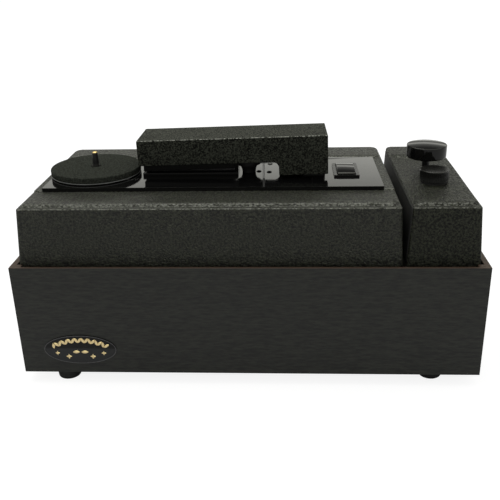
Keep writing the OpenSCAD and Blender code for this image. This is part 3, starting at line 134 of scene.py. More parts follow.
def bump(tree, shader, *layers):
    """Bumps from pairs of a height and its depth in metres, one on top of the other."""
    normal = None
    for height, depth in layers:
        inputs = {"Height": height, "Distance": depth, "Strength": 1.0}
        if normal is not None:
            inputs["Normal"] = normal
        normal = add(tree, "ShaderNodeBump", inputs).outputs["Normal"]
    tree.links.new(normal, shader.inputs["Normal"])


def new_material(name, color, roughness, metallic=0.0, specular=0.5):
    """A material of one color and roughness, with its node tree and shader."""
    material = bpy.data.materials.new(name)
    material.use_nodes = True
    tree = material.node_tree
    shader = tree.nodes["Principled BSDF"]
    shader.inputs["Base Color"].default_value = (*color, 1)
    shader.inputs["Roughness"].default_value = roughness
    shader.inputs["Metallic"].default_value = metallic
    shader.inputs["Specular IOR Level"].default_value = specular
    shader.inputs["IOR"].default_value = 1.5
    return material, tree, shader


def vary(tree, shader, field, color_a, color_b, rough_a=None, rough_b=None):
    """Color and roughness that drift between two values with a field from 0 to 1."""
    tree.links.new(mix(tree, field, color_a, color_b), shader.inputs["Base Color"])
    if rough_a is not None:
        tree.links.new(span(tree, field, 0, 1, rough_a, rough_b), shader.inputs["Roughness"])


def product(tree, a, b):
    return add(tree, "ShaderNodeMath", {0: a, 1: b}, operation="MULTIPLY").outputs[0]


def painted_highlights(tree, shader, light, scale, low=-0.3, high=-0.6):
    """Painted highlights: a lighter base colour in specks where the surface faces forward and up, as on the
    rounded edges.
    """
    facing = add(tree, "ShaderNodeTexCoord").outputs["Normal"]
    axes = add(tree, "ShaderNodeSeparateXYZ", {"Vector": facing})
    forward = span(tree, axes.outputs["Y"], low, high)
    up = span(tree, axes.outputs["Z"], 0.25, 0.5)
    speck = span(tree, noise(tree, scale, 1), 0.4, 0.6)
    highlight_mask = product(tree, product(tree, forward, up), speck)
    color = shader.inputs["Base Color"].links[0].from_socket
    tree.links.new(mix(tree, highlight_mask, color, light), shader.inputs["Base Color"])


# Materials
def panel_material():
    """Black laminate with a faint horizontal grain, and a brown edge along the rim."""
    material, tree, shader = new_material("cabinet_panel", (0.012, 0.0125, 0.011), 0.5)
    grain = noise(tree, 300, 4, (0.3, 0.3, 1.6), 0.65)
    field = span(tree, grain, 0.35, 0.65)
    face = mix(tree, field, (0.0005, 0.0008, 0.0002), (0.019, 0.0205, 0.0155))
    height = add(tree, "ShaderNodeSeparateXYZ", {"Vector": place(tree)}).outputs["Z"]
    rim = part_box("cabinet_front")[1].z
    edge = span(tree, height, rim - 0.5 * MM, rim - 0.2 * MM)
    tree.links.new(mix(tree, edge, face, (0.05, 0.028, 0.018)), shader.inputs["Base Color"])
    tree.links.new(span(tree, field, 0, 1, 0.42, 0.55), shader.inputs["Roughness"])
    bump(tree, shader, (grain, 0.06 * MM), (noise(tree, 2500, 2), 0.012 * MM))
    return material


def cover_material(name, specular):
    """Pebble-textured black moulding, with painted highlights on the slopes that face forward and up."""
    material, tree, shader = new_material(name, (0.015, 0.016, 0.011), 0.35, specular=specular)
    pebble = noise(tree, 460, 2, (1, 0.45, 1), 0.7)
    fine = noise(tree, 900, 2, (1, 0.5, 1), 0.6)
    field = span(tree, pebble, 0.4, 0.62)
    vary(tree, shader, field, (0.0005, 0.0006, 0.0004), (0.031, 0.034, 0.022), 0.42, 0.28)
    # Painted highlights: lighter specks on the slopes and edges that face forward and up
    painted_highlights(tree, shader, (0.17, 0.175, 0.15), 420)
    bump(tree, shader, (pebble, 2.0 * MM), (fine, 0.6 * MM))
    return material


def arm_material():
    """Black finish with a fine crackle, and painted highlights on the edges that face forward and up."""
    material, tree, shader = new_material("arm_finish", (0.010, 0.011, 0.0085), 0.5, specular=0.12)
    crackle = noise(tree, 720, 2, (1, 0.5, 1), 0.7)
    fine = noise(tree, 1000, 2, (1, 0.5, 1))
    field = span(tree, crackle, 0.42, 0.6)
    vary(tree, shader, field, (0.002, 0.0022, 0.0016), (0.05, 0.054, 0.041), 0.65, 0.55)
    # Painted highlights: lighter specks on the edges that face forward and up
    painted_highlights(tree, shader, (0.38, 0.39, 0.34), 600, -0.2, -0.4)
    bump(tree, shader, (crackle, 1.2 * MM), (fine, 0.4 * MM))
    return material


def gloss_material(name="gloss_black", specular=0.5):
    """Gloss black plastic with faint haze."""
    material, tree, shader = new_material(name, (0.004, 0.004, 0.004), 0.07, specular=specular)
    haze = noise(tree, 55, 4, rough=0.7)
    tree.links.new(span(tree, haze, 0.3, 0.7, 0.05, 0.1), shader.inputs["Roughness"])
    bump(tree, shader, (noise(tree, 30, 2), 0.02 * MM))
    return material


def rocker_frame_material():
    """Black plastic a little duller than the deck."""
    material, tree, shader = new_material("switch_frame", (0.006, 0.006, 0.0055), 0.2)
    grain = noise(tree, 800, 2)
    tree.links.new(span(tree, grain, 0.3, 0.7, 0.16, 0.26), shader.inputs["Roughness"])
    bump(tree, shader, (grain, 0.02 * MM))
    return material


def badge_face_material():
    """Gloss black above a line through the middle, dark grey below it."""
    material, tree, shader = new_material("badge_face", (0.01, 0.01, 0.01), 0.18, specular=0.3)
    lo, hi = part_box("badge_plate")
    middle = (lo.z + hi.z) / 2
    height = add(tree, "ShaderNodeSeparateXYZ", {"Vector": place(tree)}).outputs["Z"]
    upper = span(tree, height, middle + 0.5 * MM, middle + 2.5 * MM)
    grain = noise(tree, 900, 2)
    lower = mix(tree, grain, (0.018, 0.0185, 0.019), (0.026, 0.027, 0.028))
    tree.links.new(mix(tree, upper, lower, (0.002, 0.002, 0.002)), shader.inputs["Base Color"])
    bump(tree, shader, (grain, 0.01 * MM))
    return material


def satin_material(name, color_a, color_b, rough_a, rough_b, scale, depth):
    """A plain moulded finish: fine speckle in color, roughness and height."""
    material, tree, shader = new_material(name, color_a, rough_a)
    speckle = noise(tree, scale, 3, rough=0.6)
    vary(tree, shader, span(tree, speckle, 0.35, 0.65), color_a, color_b, rough_a, rough_b)
    bump(tree, shader, (speckle, depth))
    return material


def foam_material():
    """Dull dark grey foam with a fine ripple."""
    material, tree, shader = new_material("mat_foam", (0.03, 0.033, 0.027), 0.85, specular=0.03)
    ripple = noise(tree, 680, 3, (1, 0.45, 1), 0.65)
    vary(tree, shader, span(tree, ripple, 0.4, 0.6), (0.016, 0.0175, 0.014), (0.046, 0.05, 0.041), 0.8, 0.95)
    bump(tree, shader, (ripple, 0.5 * MM))
    return material


def metal_material(name, color, rough_a, rough_b, stretch):
    """Metal with a fine grain, drawn out by stretch."""
    material, tree, shader = new_material(name, color, rough_a, metallic=1.0)
    brushed = noise(tree, 900, 3, stretch)
    tree.links.new(span(tree, brushed, 0.3, 0.7, rough_a, rough_b), shader.inputs["Roughness"])
    bump(tree, shader, (brushed, 0.01 * MM))
    return material


def velvet_material():
    """Black velvet with a faint sheen."""
    material, tree, shader = new_material("lip_velvet", (0.006, 0.006, 0.006), 0.95)
    shader.inputs["Sheen Weight"].default_value = 0.35
    pile = noise(tree, 3500, 3)
    vary(tree, shader, pile, (0.003, 0.003, 0.003), (0.010, 0.010, 0.010))
    bump(tree, shader, (pile, 0.2 * MM))
    return material


# Plain finishes: two colors, two roughnesses, the speckle's scale and its depth in millimetres
SATIN = {
    "black_metal": ((0.006,) * 3, (0.010,) * 3, 0.3, 0.4, 900, 0.02),
    "black_rubber": ((0.008,) * 3, (0.013,) * 3, 0.55, 0.7, 1200, 0.03),
    "spindle_sleeve": ((0.004,) * 3, (0.007,) * 3, 0.3, 0.42, 1000, 0.02),
    "cap_satin": ((0.005, 0.005, 0.0045), (0.009, 0.009, 0.008), 0.26, 0.34, 900, 0.02),
    "badge_rim": ((0.05, 0.05, 0.052), (0.09, 0.09, 0.092), 0.35, 0.45, 900, 0.02),
    # The light grey of the platter's edge band is a painted highlight
    "platter_edge_highlight": ((0.18, 0.19, 0.18), (0.28, 0.29, 0.28), 0.35, 0.5, 600, 0.02),
    "light_grey_plastic": ((0.42, 0.42, 0.4), (0.5, 0.5, 0.48), 0.4, 0.5, 900, 0.03),
    "clear_tube": ((0.5, 0.5, 0.47), (0.58, 0.58, 0.55), 0.3, 0.4, 500, 0.02),
    "cream_plastic": ((0.66, 0.63, 0.55), (0.72, 0.69, 0.61), 0.45, 0.55, 700, 0.03),
}


def make_materials():
    materials = {
        "cabinet_panel": panel_material(),
        "moulded_cover": cover_material("moulded_cover", 0.45),
        "reservoir_moulding": cover_material("reservoir_moulding", 0.24),
        "arm_finish": arm_material(),
        "gloss_black": gloss_material(),
        "knob_gloss": gloss_material("knob_gloss", 0.36),
        "lip_velvet": velvet_material(),
        "switch_frame": rocker_frame_material(),
        "badge_face": badge_face_material(),
        "mat_foam": foam_material(),
        "gold": metal_material("gold", (1.0, 0.8, 0.44), 0.25, 0.4, (1, 1, 1)),
        "brass": metal_material("brass", (0.78, 0.57, 0.25), 0.2, 0.32, (1, 1, 6)),
        "steel": metal_material("steel", (0.56, 0.57, 0.58), 0.25, 0.38, (1, 1, 6)),
    }
    for name, (color_a, color_b, rough_a, rough_b, scale, depth) in SATIN.items():
        materials[name] = satin_material(name, color_a, color_b, rough_a, rough_b, scale, depth * MM)
    return materials


# Mesh helpers
def centre_of(node):
    """The middle of a node's box, seen from above."""
    lo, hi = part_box(node)
    return (lo.x + hi.x) / 2, (lo.y + hi.y) / 2


def join(parts):
    """One list of points and one of faces from several pairs of them."""
    verts, faces = [], []
    for points, sides in parts:
        faces += [tuple(i + len(verts) for i in side) for side in sides]
        verts += points
    return verts, faces


def ring_faces(first, second):
    """Four-sided faces between two closed rings of point numbers."""
    count = len(first)
    pairs = [(k, (k + 1) % count) for k in range(count)]
    return [(first[k], first[n], second[n], second[k]) for k, n in pairs]


def fillet(points, radii, steps=6):
    """A 2-D line whose corners are rounded by arcs."""
    out = []
    last = len(points) - 1
    for i, (point, radius) in enumerate(zip(points, radii)):
        p = Vector(point)
        if not radius or i in (0, last):
            out.append(tuple(p))
            continue
        a = (Vector(points[i - 1]) - p).normalized()
        b = (Vector(points[i + 1]) - p).normalized()
        half = math.acos(max(-1, min(1, a.dot(b)))) / 2
        reach = radius / math.tan(half)
        centre = p + (a + b).normalized() * radius / math.sin(half)
        start = p + a * reach - centre
        end = p + b * reach - centre
        turn = math.atan2(start.x * end.y - start.y * end.x, start.dot(end))
        for k in range(steps + 1):
            angle = turn * k / steps
            out.append((centre.x + start.x * math.cos(angle) - start.y * math.sin(angle),
                        centre.y + start.x * math.sin(angle) + start.y * math.cos(angle)))
    return out


def piece(name, verts, faces, node, sharp=35, slot=None, replaces=True, finish=None):
    """A mesh piece in metres that belongs to a node, and stands for it where replaces is set."""
    mesh = bpy.data.meshes.new(name)
    mesh.from_pydata([tuple(v) for v in verts], [], faces)
    bm = bmesh.new()
    bm.from_mesh(mesh)
    bmesh.ops.remove_doubles(bm, verts=bm.verts, dist=WELD_REACH)
    bmesh.ops.recalc_face_normals(bm, faces=bm.faces)
    bm.to_mesh(mesh)
    bm.free()
    return dress(bpy.data.objects.new(name, mesh), node, sharp, slot, replaces, finish)


def dress(obj, node, sharp=35, slot=None, replaces=True, finish=None):
    """Gives a piece its shading, the material of its finish or else of its slot, and the body of its node;
    hides the node where replaces is set.
    """
    bpy.context.scene.collection.objects.link(obj)
    obj.data.shade_smooth()
    obj.data.set_sharp_from_angle(angle=math.radians(sharp))
    slot = slot or SLOT_OF[node]
    obj.data.materials.clear()
    obj.data.materials.append(MATERIALS[finish or slot])
    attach(obj, BODY_OF[node])
    if replaces:
        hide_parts(node)
    return obj


def lathe(profile, centre, segments=96, ripple=None):
    """Points and faces of a profile of (radius, height) turned round a vertical axis."""
    verts, faces = [], []
    for r, z in profile:
        for k in range(segments):
            angle = 2 * math.pi * k / segments
            reach = r if ripple is None else r + ripple(r, z, angle)
            verts.append((centre[0] + reach * math.cos(angle), centre[1] + reach * math.sin(angle), z))
    rows = [range(i * segments, (i + 1) * segments) for i in range(len(profile))]
    for lower, upper in zip(rows, rows[1:]):
        faces += ring_faces(lower, upper)
    return verts, faces


def closed(profile):
    """A profile that ends where it starts."""
    return profile + [profile[0]]


def prism(outline, axis, low, high, bevel=0.0, steps=3):
    """A solid with a 2-D outline, drawn along x or y and with its edges rounded."""
    order = {"x": lambda u, v, w: (w, u, v), "y": lambda u, v, w: (u, w, v)}[axis]
    bm = bmesh.new()
    ends = [[bm.verts.new(order(u, v, w)) for u, v in outline] for w in (low, high)]
    count = len(outline)
    bm.faces.new(ends[0])
    bm.faces.new(ends[1])
    for k in range(count):
        n = (k + 1) % count
        bm.faces.new((ends[0][k], ends[0][n], ends[1][n], ends[1][k]))
    bmesh.ops.recalc_face_normals(bm, faces=bm.faces)
    if bevel:
        edges = [e for e in bm.edges if e.calc_face_angle(0) > math.radians(30)]
        bmesh.ops.bevel(bm, geom=edges, offset=bevel, segments=steps, profile=0.5, affect="EDGES")
    mesh = bpy.data.meshes.new("prism")
    bm.to_mesh(mesh)
    bm.free()
    return mesh


def soften(node, width):
    """Rounds the sharp edges of a carried-over solid."""
    obj = nodes[node]
    weld = obj.modifiers.new("weld", "WELD")
    weld.merge_threshold = WELD_REACH
    flat = obj.modifiers.new("flat", "DECIMATE")
    flat.decimate_type = "DISSOLVE"
    flat.angle_limit = math.radians(1)
    edge = obj.modifiers.new("edge", "BEVEL")
    edge.width = width
    edge.segments = 3
    edge.limit_method = "ANGLE"
    edge.angle_limit = math.radians(30)
    even = obj.modifiers.new("even", "WEIGHTED_NORMAL")
    even.mode = "FACE_AREA"
    even.weight = 100
    even.keep_sharp = False
    obj.data.shade_smooth()


# Covers
PLATEAU_RISE = 1.2 * MM
PLATEAU_Y = -57.5 * MM
SLOPE_Y = -88.0 * MM
SLOPE_LENGTH = 120 * MM
BEAD_RISE = 2.4 * MM
BEAD_INSET = 4.0 * MM
BEAD_FADE = 7 * MM
FRONT_BEAD = {"y": -100.3 * MM, "half": 6.0 * MM, "blunt": 4.0, "reach": 11 * MM, "step": 0.4 * MM}
BACK_BEAD = {"y": 69.1 * MM, "half": 7.0 * MM, "blunt": 2.5, "reach": 9 * MM, "step": 0.5 * MM}
GROOVE_HALF = 1.4 * MM
GROOVE_DEPTH = 1.0 * MM
DITCH_HALF = 2.2 * MM
EDGE_R = 1.6 * MM
EDGE_SPOTS = [e * MM for e in (0.0, 0.15, 0.4, 0.8, 1.3, 1.9, 2.6)]
CORNERS = {-1: (3.0 * MM, 3.0 * MM), 1: (6.0 * MM, 13.0 * MM)}
DRAFT = 3.5 * MM
SKIRT = 12.0 * MM
SKIRT_SPOTS = (0.04, 0.1, 0.25, 0.5, 0.75, 1.0, 1.2)
WALL = 2.2 * MM


def smooth_step(x):
    x = max(0.0, min(1.0, x))
    return x * x * (3 - 2 * x)


def bead_height(x, y, bead, x0, x1):
    """Height of a bead with round ends, and of the groove round it."""
    along = max(x0 - x, 0, x - x1)
    d = math.hypot(along, y - bead["y"])
    half = bead["half"]
    if d < half:
        return BEAD_RISE * (1 - (d / half) ** bead["blunt"]) ** 0.6
    across = abs(d - half - GROOVE_HALF) / GROOVE_HALF
    return -GROOVE_DEPTH * (1 - smooth_step(across)) if across < 1 else 0.0


def spread(low, high, step, fine):
    """Sorted positions from low to high, a coarse step apart.

    Each fine stretch (low, high, step) has its own positions in place of the coarse ones.
    """
    spots = {round(low, 7), round(high, 7)}
    coarse = max(1, round((high - low) / step))
    spots.update(round(low + (high - low) * i / coarse, 7) for i in range(coarse + 1))
    for a, b, s in fine:
        a, b = max(a, low), min(b, high)
        if b > a:
            count = max(1, round((b - a) / s))
            inside = [round(a + (b - a) * i / count, 7) for i in range(count + 1)]
            spots = {p for p in spots if not a < p < b} | set(inside)
    return sorted(spots)


def cover_spots(low, high, fine):
    """Positions across a cover, with those of its rounded edges."""
    spots = set(spread(low, high, 3 * MM, fine))
    spots |= {round(low + e, 7) for e in EDGE_SPOTS}
    spots |= {round(high - e, 7) for e in EDGE_SPOTS}
    return sorted(spots)


def cover_mesh(name, node, round_left, step_y, step_l, ditch, finish):
    """A moulded cover: a top with two beads, and a wall that leans out to its skirt.

    The top rises from step_y on over the length step_l, and has a groove as deep as ditch at step_y.
    """
    lo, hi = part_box(node)
    rim = lo.z + SKIRT
    top = hi.z - BEAD_RISE
    lean = DRAFT * (top - EDGE_R - rim) / (top - rim)
    x0, x1, y0, y1 = lo.x + lean, hi.x - lean, lo.y + lean, hi.y - lean
    inset = DRAFT + BEAD_INSET
    ends = {}
    for key, bead in (("front", FRONT_BEAD), ("back", BACK_BEAD)):
        start = lo.x + inset + bead["half"] if round_left else lo.x - 1
        ends[key] = (start, hi.x - inset - bead["half"])
    fine_x = [(x0, x0 + 22 * MM, 1.0 * MM), (x1 - 22 * MM, x1, 1.0 * MM)]
    fine_y = [(bead["y"] - bead["reach"], bead["y"] + bead["reach"], bead["step"])
              for bead in (FRONT_BEAD, BACK_BEAD)]
    fine_y += [(step_y - 2.5 * MM, step_y + 2.5 * MM, 0.4 * MM),
               (y0, y0 + 4 * MM, 1.0 * MM), (y1 - 15 * MM, y1, 1.0 * MM)]
    xs = cover_spots(x0, x1, fine_x)
    ys = cover_spots(y0, y1, fine_y)

    def to_outline(x, y):
        """The point moved into the rounded outline, and its distance from the edge."""
        near = min(x - x0, x1 - x, y - y0, y1 - y)
        for sy, (wide, deep) in CORNERS.items():
            for sx in (-1, 1):
                cx = x0 + wide if sx < 0 else x1 - wide
                cy = y0 + deep if sy < 0 else y1 - deep
                u, v = sx * (x - cx) / wide, sy * (y - cy) / deep
                if u > 0 and v > 0:
                    p, q = u * math.sqrt(1 - v * v / 2), v * math.sqrt(1 - u * u / 2)
                    return cx + sx * wide * p, cy + sy * deep * q, wide * (1 - math.hypot(p, q))
        return x, y, near

    def top_height(x, y, e):
        """Height of the top at a point that lies e inside the edge."""
        z = top - PLATEAU_RISE * (1 - smooth_step((y - step_y) / step_l))
        z -= ditch * (1 - smooth_step(abs(y - step_y) / DITCH_HALF))
        fade = 1.0 if round_left else smooth_step((x - x0) / BEAD_FADE)
        z += fade * bead_height(x, y, FRONT_BEAD, *ends["front"])
        z += fade * bead_height(x, y, BACK_BEAD, *ends["back"])
        if e < EDGE_R:
            z -= EDGE_R - math.sqrt(max(0.0, EDGE_R * EDGE_R - (EDGE_R - e) ** 2))
        return z

    verts, faces = [], []
    nx, ny = len(xs), len(ys)
    for y in ys:
        for x in xs:
            px, py, e = to_outline(x, y)
            verts.append((px, py, top_height(px, py, max(e, 0.0))))
    for j in range(ny - 1):
        for i in range(nx - 1):
            a = j * nx + i
            faces.append((a, a + 1, a + nx + 1, a + nx))
    loop = list(range(nx)) + [j * nx + nx - 1 for j in range(1, ny)]
    loop += [(ny - 1) * nx + i for i in range(nx - 2, -1, -1)] + [j * nx for j in range(ny - 2, 0, -1)]
    border = [verts[i] for i in loop]
    cx, cy = (x0 + x1) / 2, (y0 + y1) / 2
    rings = [loop]
    for t in SKIRT_SPOTS:
        out = lean * min(t, 1.0)
        grow_x, grow_y = 1 + 2 * out / (x1 - x0), 1 + 2 * out / (y1 - y0)
        ring = []
        for bx, by, bz in border:
            z = bz + (rim - bz) * t if t <= 1 else lo.z
            ring.append(len(verts))
            verts.append((cx + (bx - cx) * grow_x, cy + (by - cy) * grow_y, z))
        rings.append(ring)
    for upper, lower in zip(rings, rings[1:]):
        faces += ring_faces(upper, lower)
    obj = piece(name, verts, faces, node, sharp=50, finish=finish)
    shell = obj.modifiers.new("wall", "SOLIDIFY")
    shell.thickness = WALL
    shell.offset = -1


# Platter and spindle
MAT_HOLE_R = 5.5 * MM
SHAFT_R = 3 * MM
SLEEVE_R = 3.7 * MM
SLEEVE_FOOT_R = 4.4 * MM
SLEEVE_DEPTH = 3 * MM
BUTTON_R = 2.9 * MM
BUTTON_RISE = 1.1 * MM


def make_platter():
    lo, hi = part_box("platter_mat")
    mat_top = hi.z
    centre = centre_of("platter_mat")
    r = (hi.x - lo.x) / 2
    outline = [(MAT_HOLE_R, lo.z), (r, lo.z), (r, mat_top), (MAT_HOLE_R, mat_top)]
    profile = fillet(outline, [0, 0.8 * MM, 1.2 * MM, 0])
    piece("platter_mat_disc", *lathe(closed(profile), centre, 160), "platter_mat")

    foot = mat_top - SLEEVE_DEPTH
    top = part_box("spindle_tip")[1].z - 1.5 * MM
    outline = [(0, foot), (SLEEVE_FOOT_R, foot), (SLEEVE_FOOT_R, mat_top + 0.5 * MM),
               (SLEEVE_R, mat_top + 2.5 * MM), (SLEEVE_R - 0.4 * MM, top), (0, top)]
    sleeve = fillet(outline, [0, 0, 0.4 * MM, 2.0 * MM, 0.8 * MM, 0])
    shaft_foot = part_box("spindle")[0].z
    shaft = fillet([(0, shaft_foot), (SHAFT_R, shaft_foot), (SHAFT_R, foot)], [0, 0.4 * MM, 0])
    turned = [lathe(profile, centre, 48) for profile in (sleeve, shaft)]
    piece("spindle_sleeve", *join(turned), "spindle")

    rim = top + 0.4 * MM
    button = [(0, top - 1.0 * MM), (BUTTON_R, top - 1.0 * MM), (BUTTON_R, rim)]
    for k in range(1, 11):
        angle = math.pi * k / 20
        button.append((BUTTON_R * math.cos(angle), rim + BUTTON_RISE * math.sin(angle)))
    piece("spindle_button", *lathe(button, centre, 48), "spindle_tip")


# Pump knob and filler cap
def make_knob():
    lo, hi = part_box("pump_knob")
    centre = centre_of("pump_knob")
    r = (hi.x - lo.x) / 2
    dome = 1.8 * MM
    bevel = 0.4 * MM
    flat = r - bevel
    curve = (flat * flat + dome * dome) / (2 * dome)
    side = fillet([(0, lo.z), (r, lo.z), (r, hi.z - dome - bevel)], [0, 2.2 * MM, 0])
    top = []
    for k in range(17):
        reach = flat * (1 - k / 16)
        top.append((reach, hi.z - curve + math.sqrt(curve * curve - reach * reach)))
    piece("pump_knob_disc", *lathe(side + top, centre, 128), "pump_knob", finish="knob_gloss")


def make_spring():
    """A copy of the spring with a mesh of its own."""
    source = nodes["pump_spring"]
    mesh = source.data.copy()
    mesh.transform(source.matrix_world)
    spring = dress(bpy.data.objects.new("pump_spring_coil", mesh), "pump_spring")
    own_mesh(spring)


RIBS = 48
POINTS_PER_RIB = 8
RIB_DEPTH = 0.55 * MM
RIB_END = 0.5 * MM


def make_cap():
    """A ribbed cap that is hollow below and a little dished on top."""
    lo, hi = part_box("filler_cap")
    centre = centre_of("filler_cap")
    r = (hi.x - lo.x) / 2
    bore = r - 3.4 * MM
    z_in = hi.z - 2.4 * MM
    dish = 1.0 * MM
    edge = r - 0.7 * MM
    low, high = lo.z + 0.8 * MM, hi.z - 1.4 * MM
    profile = fillet(
        [(0, z_in), (bore, z_in), (bore, lo.z), (r, lo.z), (r, hi.z), (edge, hi.z)],
        [0, 0, 0, 0.4 * MM, 0.5 * MM, 0])
    for k in range(1, 17):
        reach = edge * (1 - k / 16)
        profile.append((reach, hi.z - dish * (1 - (reach / edge) ** 1.5)))
    dense = []
    for (ra, za), (rb, zb) in zip(profile, profile[1:]):
        dense.append((ra, za))
        if abs(ra - rb) < 1e-6 and abs(ra - r) < 1e-6:
            for z in (low, low + RIB_END, high - RIB_END, high):
                dense.append((ra, z))
    dense.append(profile[-1])

    def ripple(radius, z, angle):
        if radius < r - 0.3 * MM:
            return 0
        fade = smooth_step((z - low) / RIB_END) * smooth_step((high - z) / RIB_END)
        return -RIB_DEPTH * fade * (0.5 - 0.5 * math.cos(RIBS * angle)) ** 1.5

    piece("filler_cap_ribbed", *lathe(dense, centre, RIBS * POINTS_PER_RIB, ripple), "filler_cap",
          sharp=60, finish="cap_satin")


# Feet
FOOT_SPOTS = [(x * MM, side * y * MM) for x, y in ((-200.5, 107.4), (196.0, 101.4)) for side in (-1, 1)]


def make_feet():
    lo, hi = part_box("feet")
    r = 13.5 * MM
    tip = 12.0 * MM
    bore = 4.0 * MM
    profile = fillet([(bore, lo.z + hi.z / 3), (bore, lo.z), (tip, lo.z), (r, hi.z), (0, hi.z)],
                     [0, 0.3 * MM, 1.6 * MM, 0.5 * MM, 0])
    profile = [(0, profile[0][1])] + profile
    piece("feet_turned", *join(lathe(profile, spot, 64) for spot in FOOT_SPOTS), "feet")


# Switch
def make_rocker():
    lo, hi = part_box("switch_rocker")
    bezel_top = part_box("switch_bezel")[1].z
    half = (hi.y - lo.y) / 2
    crown = 1.9 * MM
    r = (half * half + crown * crown) / (2 * crown)
    swing = math.asin(half / r)
    outline = [(-half, bezel_top - 2 * MM), (-3.4 * MM, lo.z), (3.4 * MM, lo.z), (half, bezel_top - 2 * MM)]
    for k in range(25):
        angle = math.pi / 2 - swing + 2 * swing * k / 24
        outline.append((r * math.cos(angle), hi.z - r + r * math.sin(angle)))
    mesh = prism(outline, "x", lo.x, hi.x, 0.8 * MM, 3)
    dress(bpy.data.objects.new("switch_rocker_paddle", mesh), "switch_rocker")


# Small pieces on and beside the deck
# Lowest and highest corner of each block, in millimetres
# The first block is a black strip that paints the shade in the step in front of the deck
DECK_STEP_SHADE = ((-221.6, -58.0, 196.3), (142.7, -56.8, 197.7))
CUSHION = ((-119.4, -16.0, 200.1), (-13.0, 16.0, 203.7))
END_CAP = ((-16.8, -16.0, 206.4), (-12.4, -12.2, 219.7))
BLADE = ((14.7, -26.5, 200.1), (16.8, -20.6, 220.0))
# The outline, seen from the front, of a dark sheet that paints the shade in the gap between the covers, and
# its two ends, in millimetres
GAP_SHADE_SHEET = ((160.5, 138.0), (161.1, 138.0), (164.4, 195.3), (163.8, 195.3))
GAP_SHADE_SHEET_ENDS = (-113.0, 101.0)
# The dark ring round the filler neck, which stands in for the shade under the cap, and the light band at the
# platter's edge, a painted highlight
SHADE_RING_RADII = (12.4 * MM, 14.4 * MM)
SHADE_RING_FOOT = 195.0 * MM
# The band's light grey is a painted highlight along the platter's edge
HIGHLIGHT_BAND_RADII = (49.6 * MM, 50.3 * MM)
HIGHLIGHT_BAND_HEIGHTS = (201.2 * MM, 202.05 * MM)


def rectangle(low_u, high_u, low_v, high_v):
    return [(low_u, low_v), (high_u, low_v), (high_u, high_v), (low_u, high_v)]


def block(name, node, corners, bevel, **extra):
    """A block with rounded edges between two corners; all its measures are in millimetres."""
    low, high = corners
    outline = rectangle(low[0] * MM, high[0] * MM, low[2] * MM, high[2] * MM)
    mesh = prism(outline, "y", low[1] * MM, high[1] * MM, bevel * MM, 3)
    dress(bpy.data.objects.new(name, mesh), node, **extra)


def make_deck_pieces():
    # A black strip in front of the deck: painted shade in the step of the cover
    block("deck_step_shade_strip", "deck_plate", DECK_STEP_SHADE, 0, replaces=False)
    block("lower_pad_cushion", "lower_pad", CUSHION, 0.15)
    block("upper_pad_end_cap", "upper_pad", END_CAP, 0.4, replaces=False)
    # A dark sheet in the gap beside the reservoir cover: painted shade in the gap
    front, back = (end * MM for end in GAP_SHADE_SHEET_ENDS)
    mesh = prism([(u * MM, v * MM) for u, v in GAP_SHADE_SHEET], "y", front, back, 0.1 * MM, 2)
    gap_shade_sheet = bpy.data.objects.new("cover_gap_shade_sheet", mesh)
    dress(gap_shade_sheet, "reservoir_cover", slot="black_rubber", replaces=False)
    # A black ring under the filler cap: it hides the neck, and stands in for the shade under the cap
    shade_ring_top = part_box("filler_cap")[0].z - 0.15 * MM
    ring = fillet(rectangle(*SHADE_RING_RADII, SHADE_RING_FOOT, shade_ring_top), [0, 0, 0.6 * MM, 0])
    piece("filler_shade_ring", *lathe(closed(ring), centre_of("filler_cap"), 96), "reservoir_cover",
          slot="black_rubber", replaces=False)
    # A light grey band along the platter's edge: a painted highlight
    band = fillet(rectangle(*HIGHLIGHT_BAND_RADII, *HIGHLIGHT_BAND_HEIGHTS), [0, 0.3 * MM, 0.3 * MM, 0])
    piece("platter_edge_highlight_band", *lathe(closed(band), centre_of("platter_mat"), 160), "platter_plate",
          replaces=False, finish="platter_edge_highlight")
    block("arm_stop_blade", "arm_stop_post", BLADE, 0.3)


# Badge
# The garland in millimetres about the emblem's centre, with x, z and size for each cross
LEAF_STEP = 3.55
ARCH_TOP = 11.0
ARCH_DROP = 6.6
ARCH_HALF = 28.4
CROSSES = ((-25, -4.2, 1.0), (-13, -8.4, 1.2), (13, -8.4, 1.2), (25, -4.2, 1.0))
BUD_SPOTS = ((-4.6, -3.0), (4.6, -3.0))


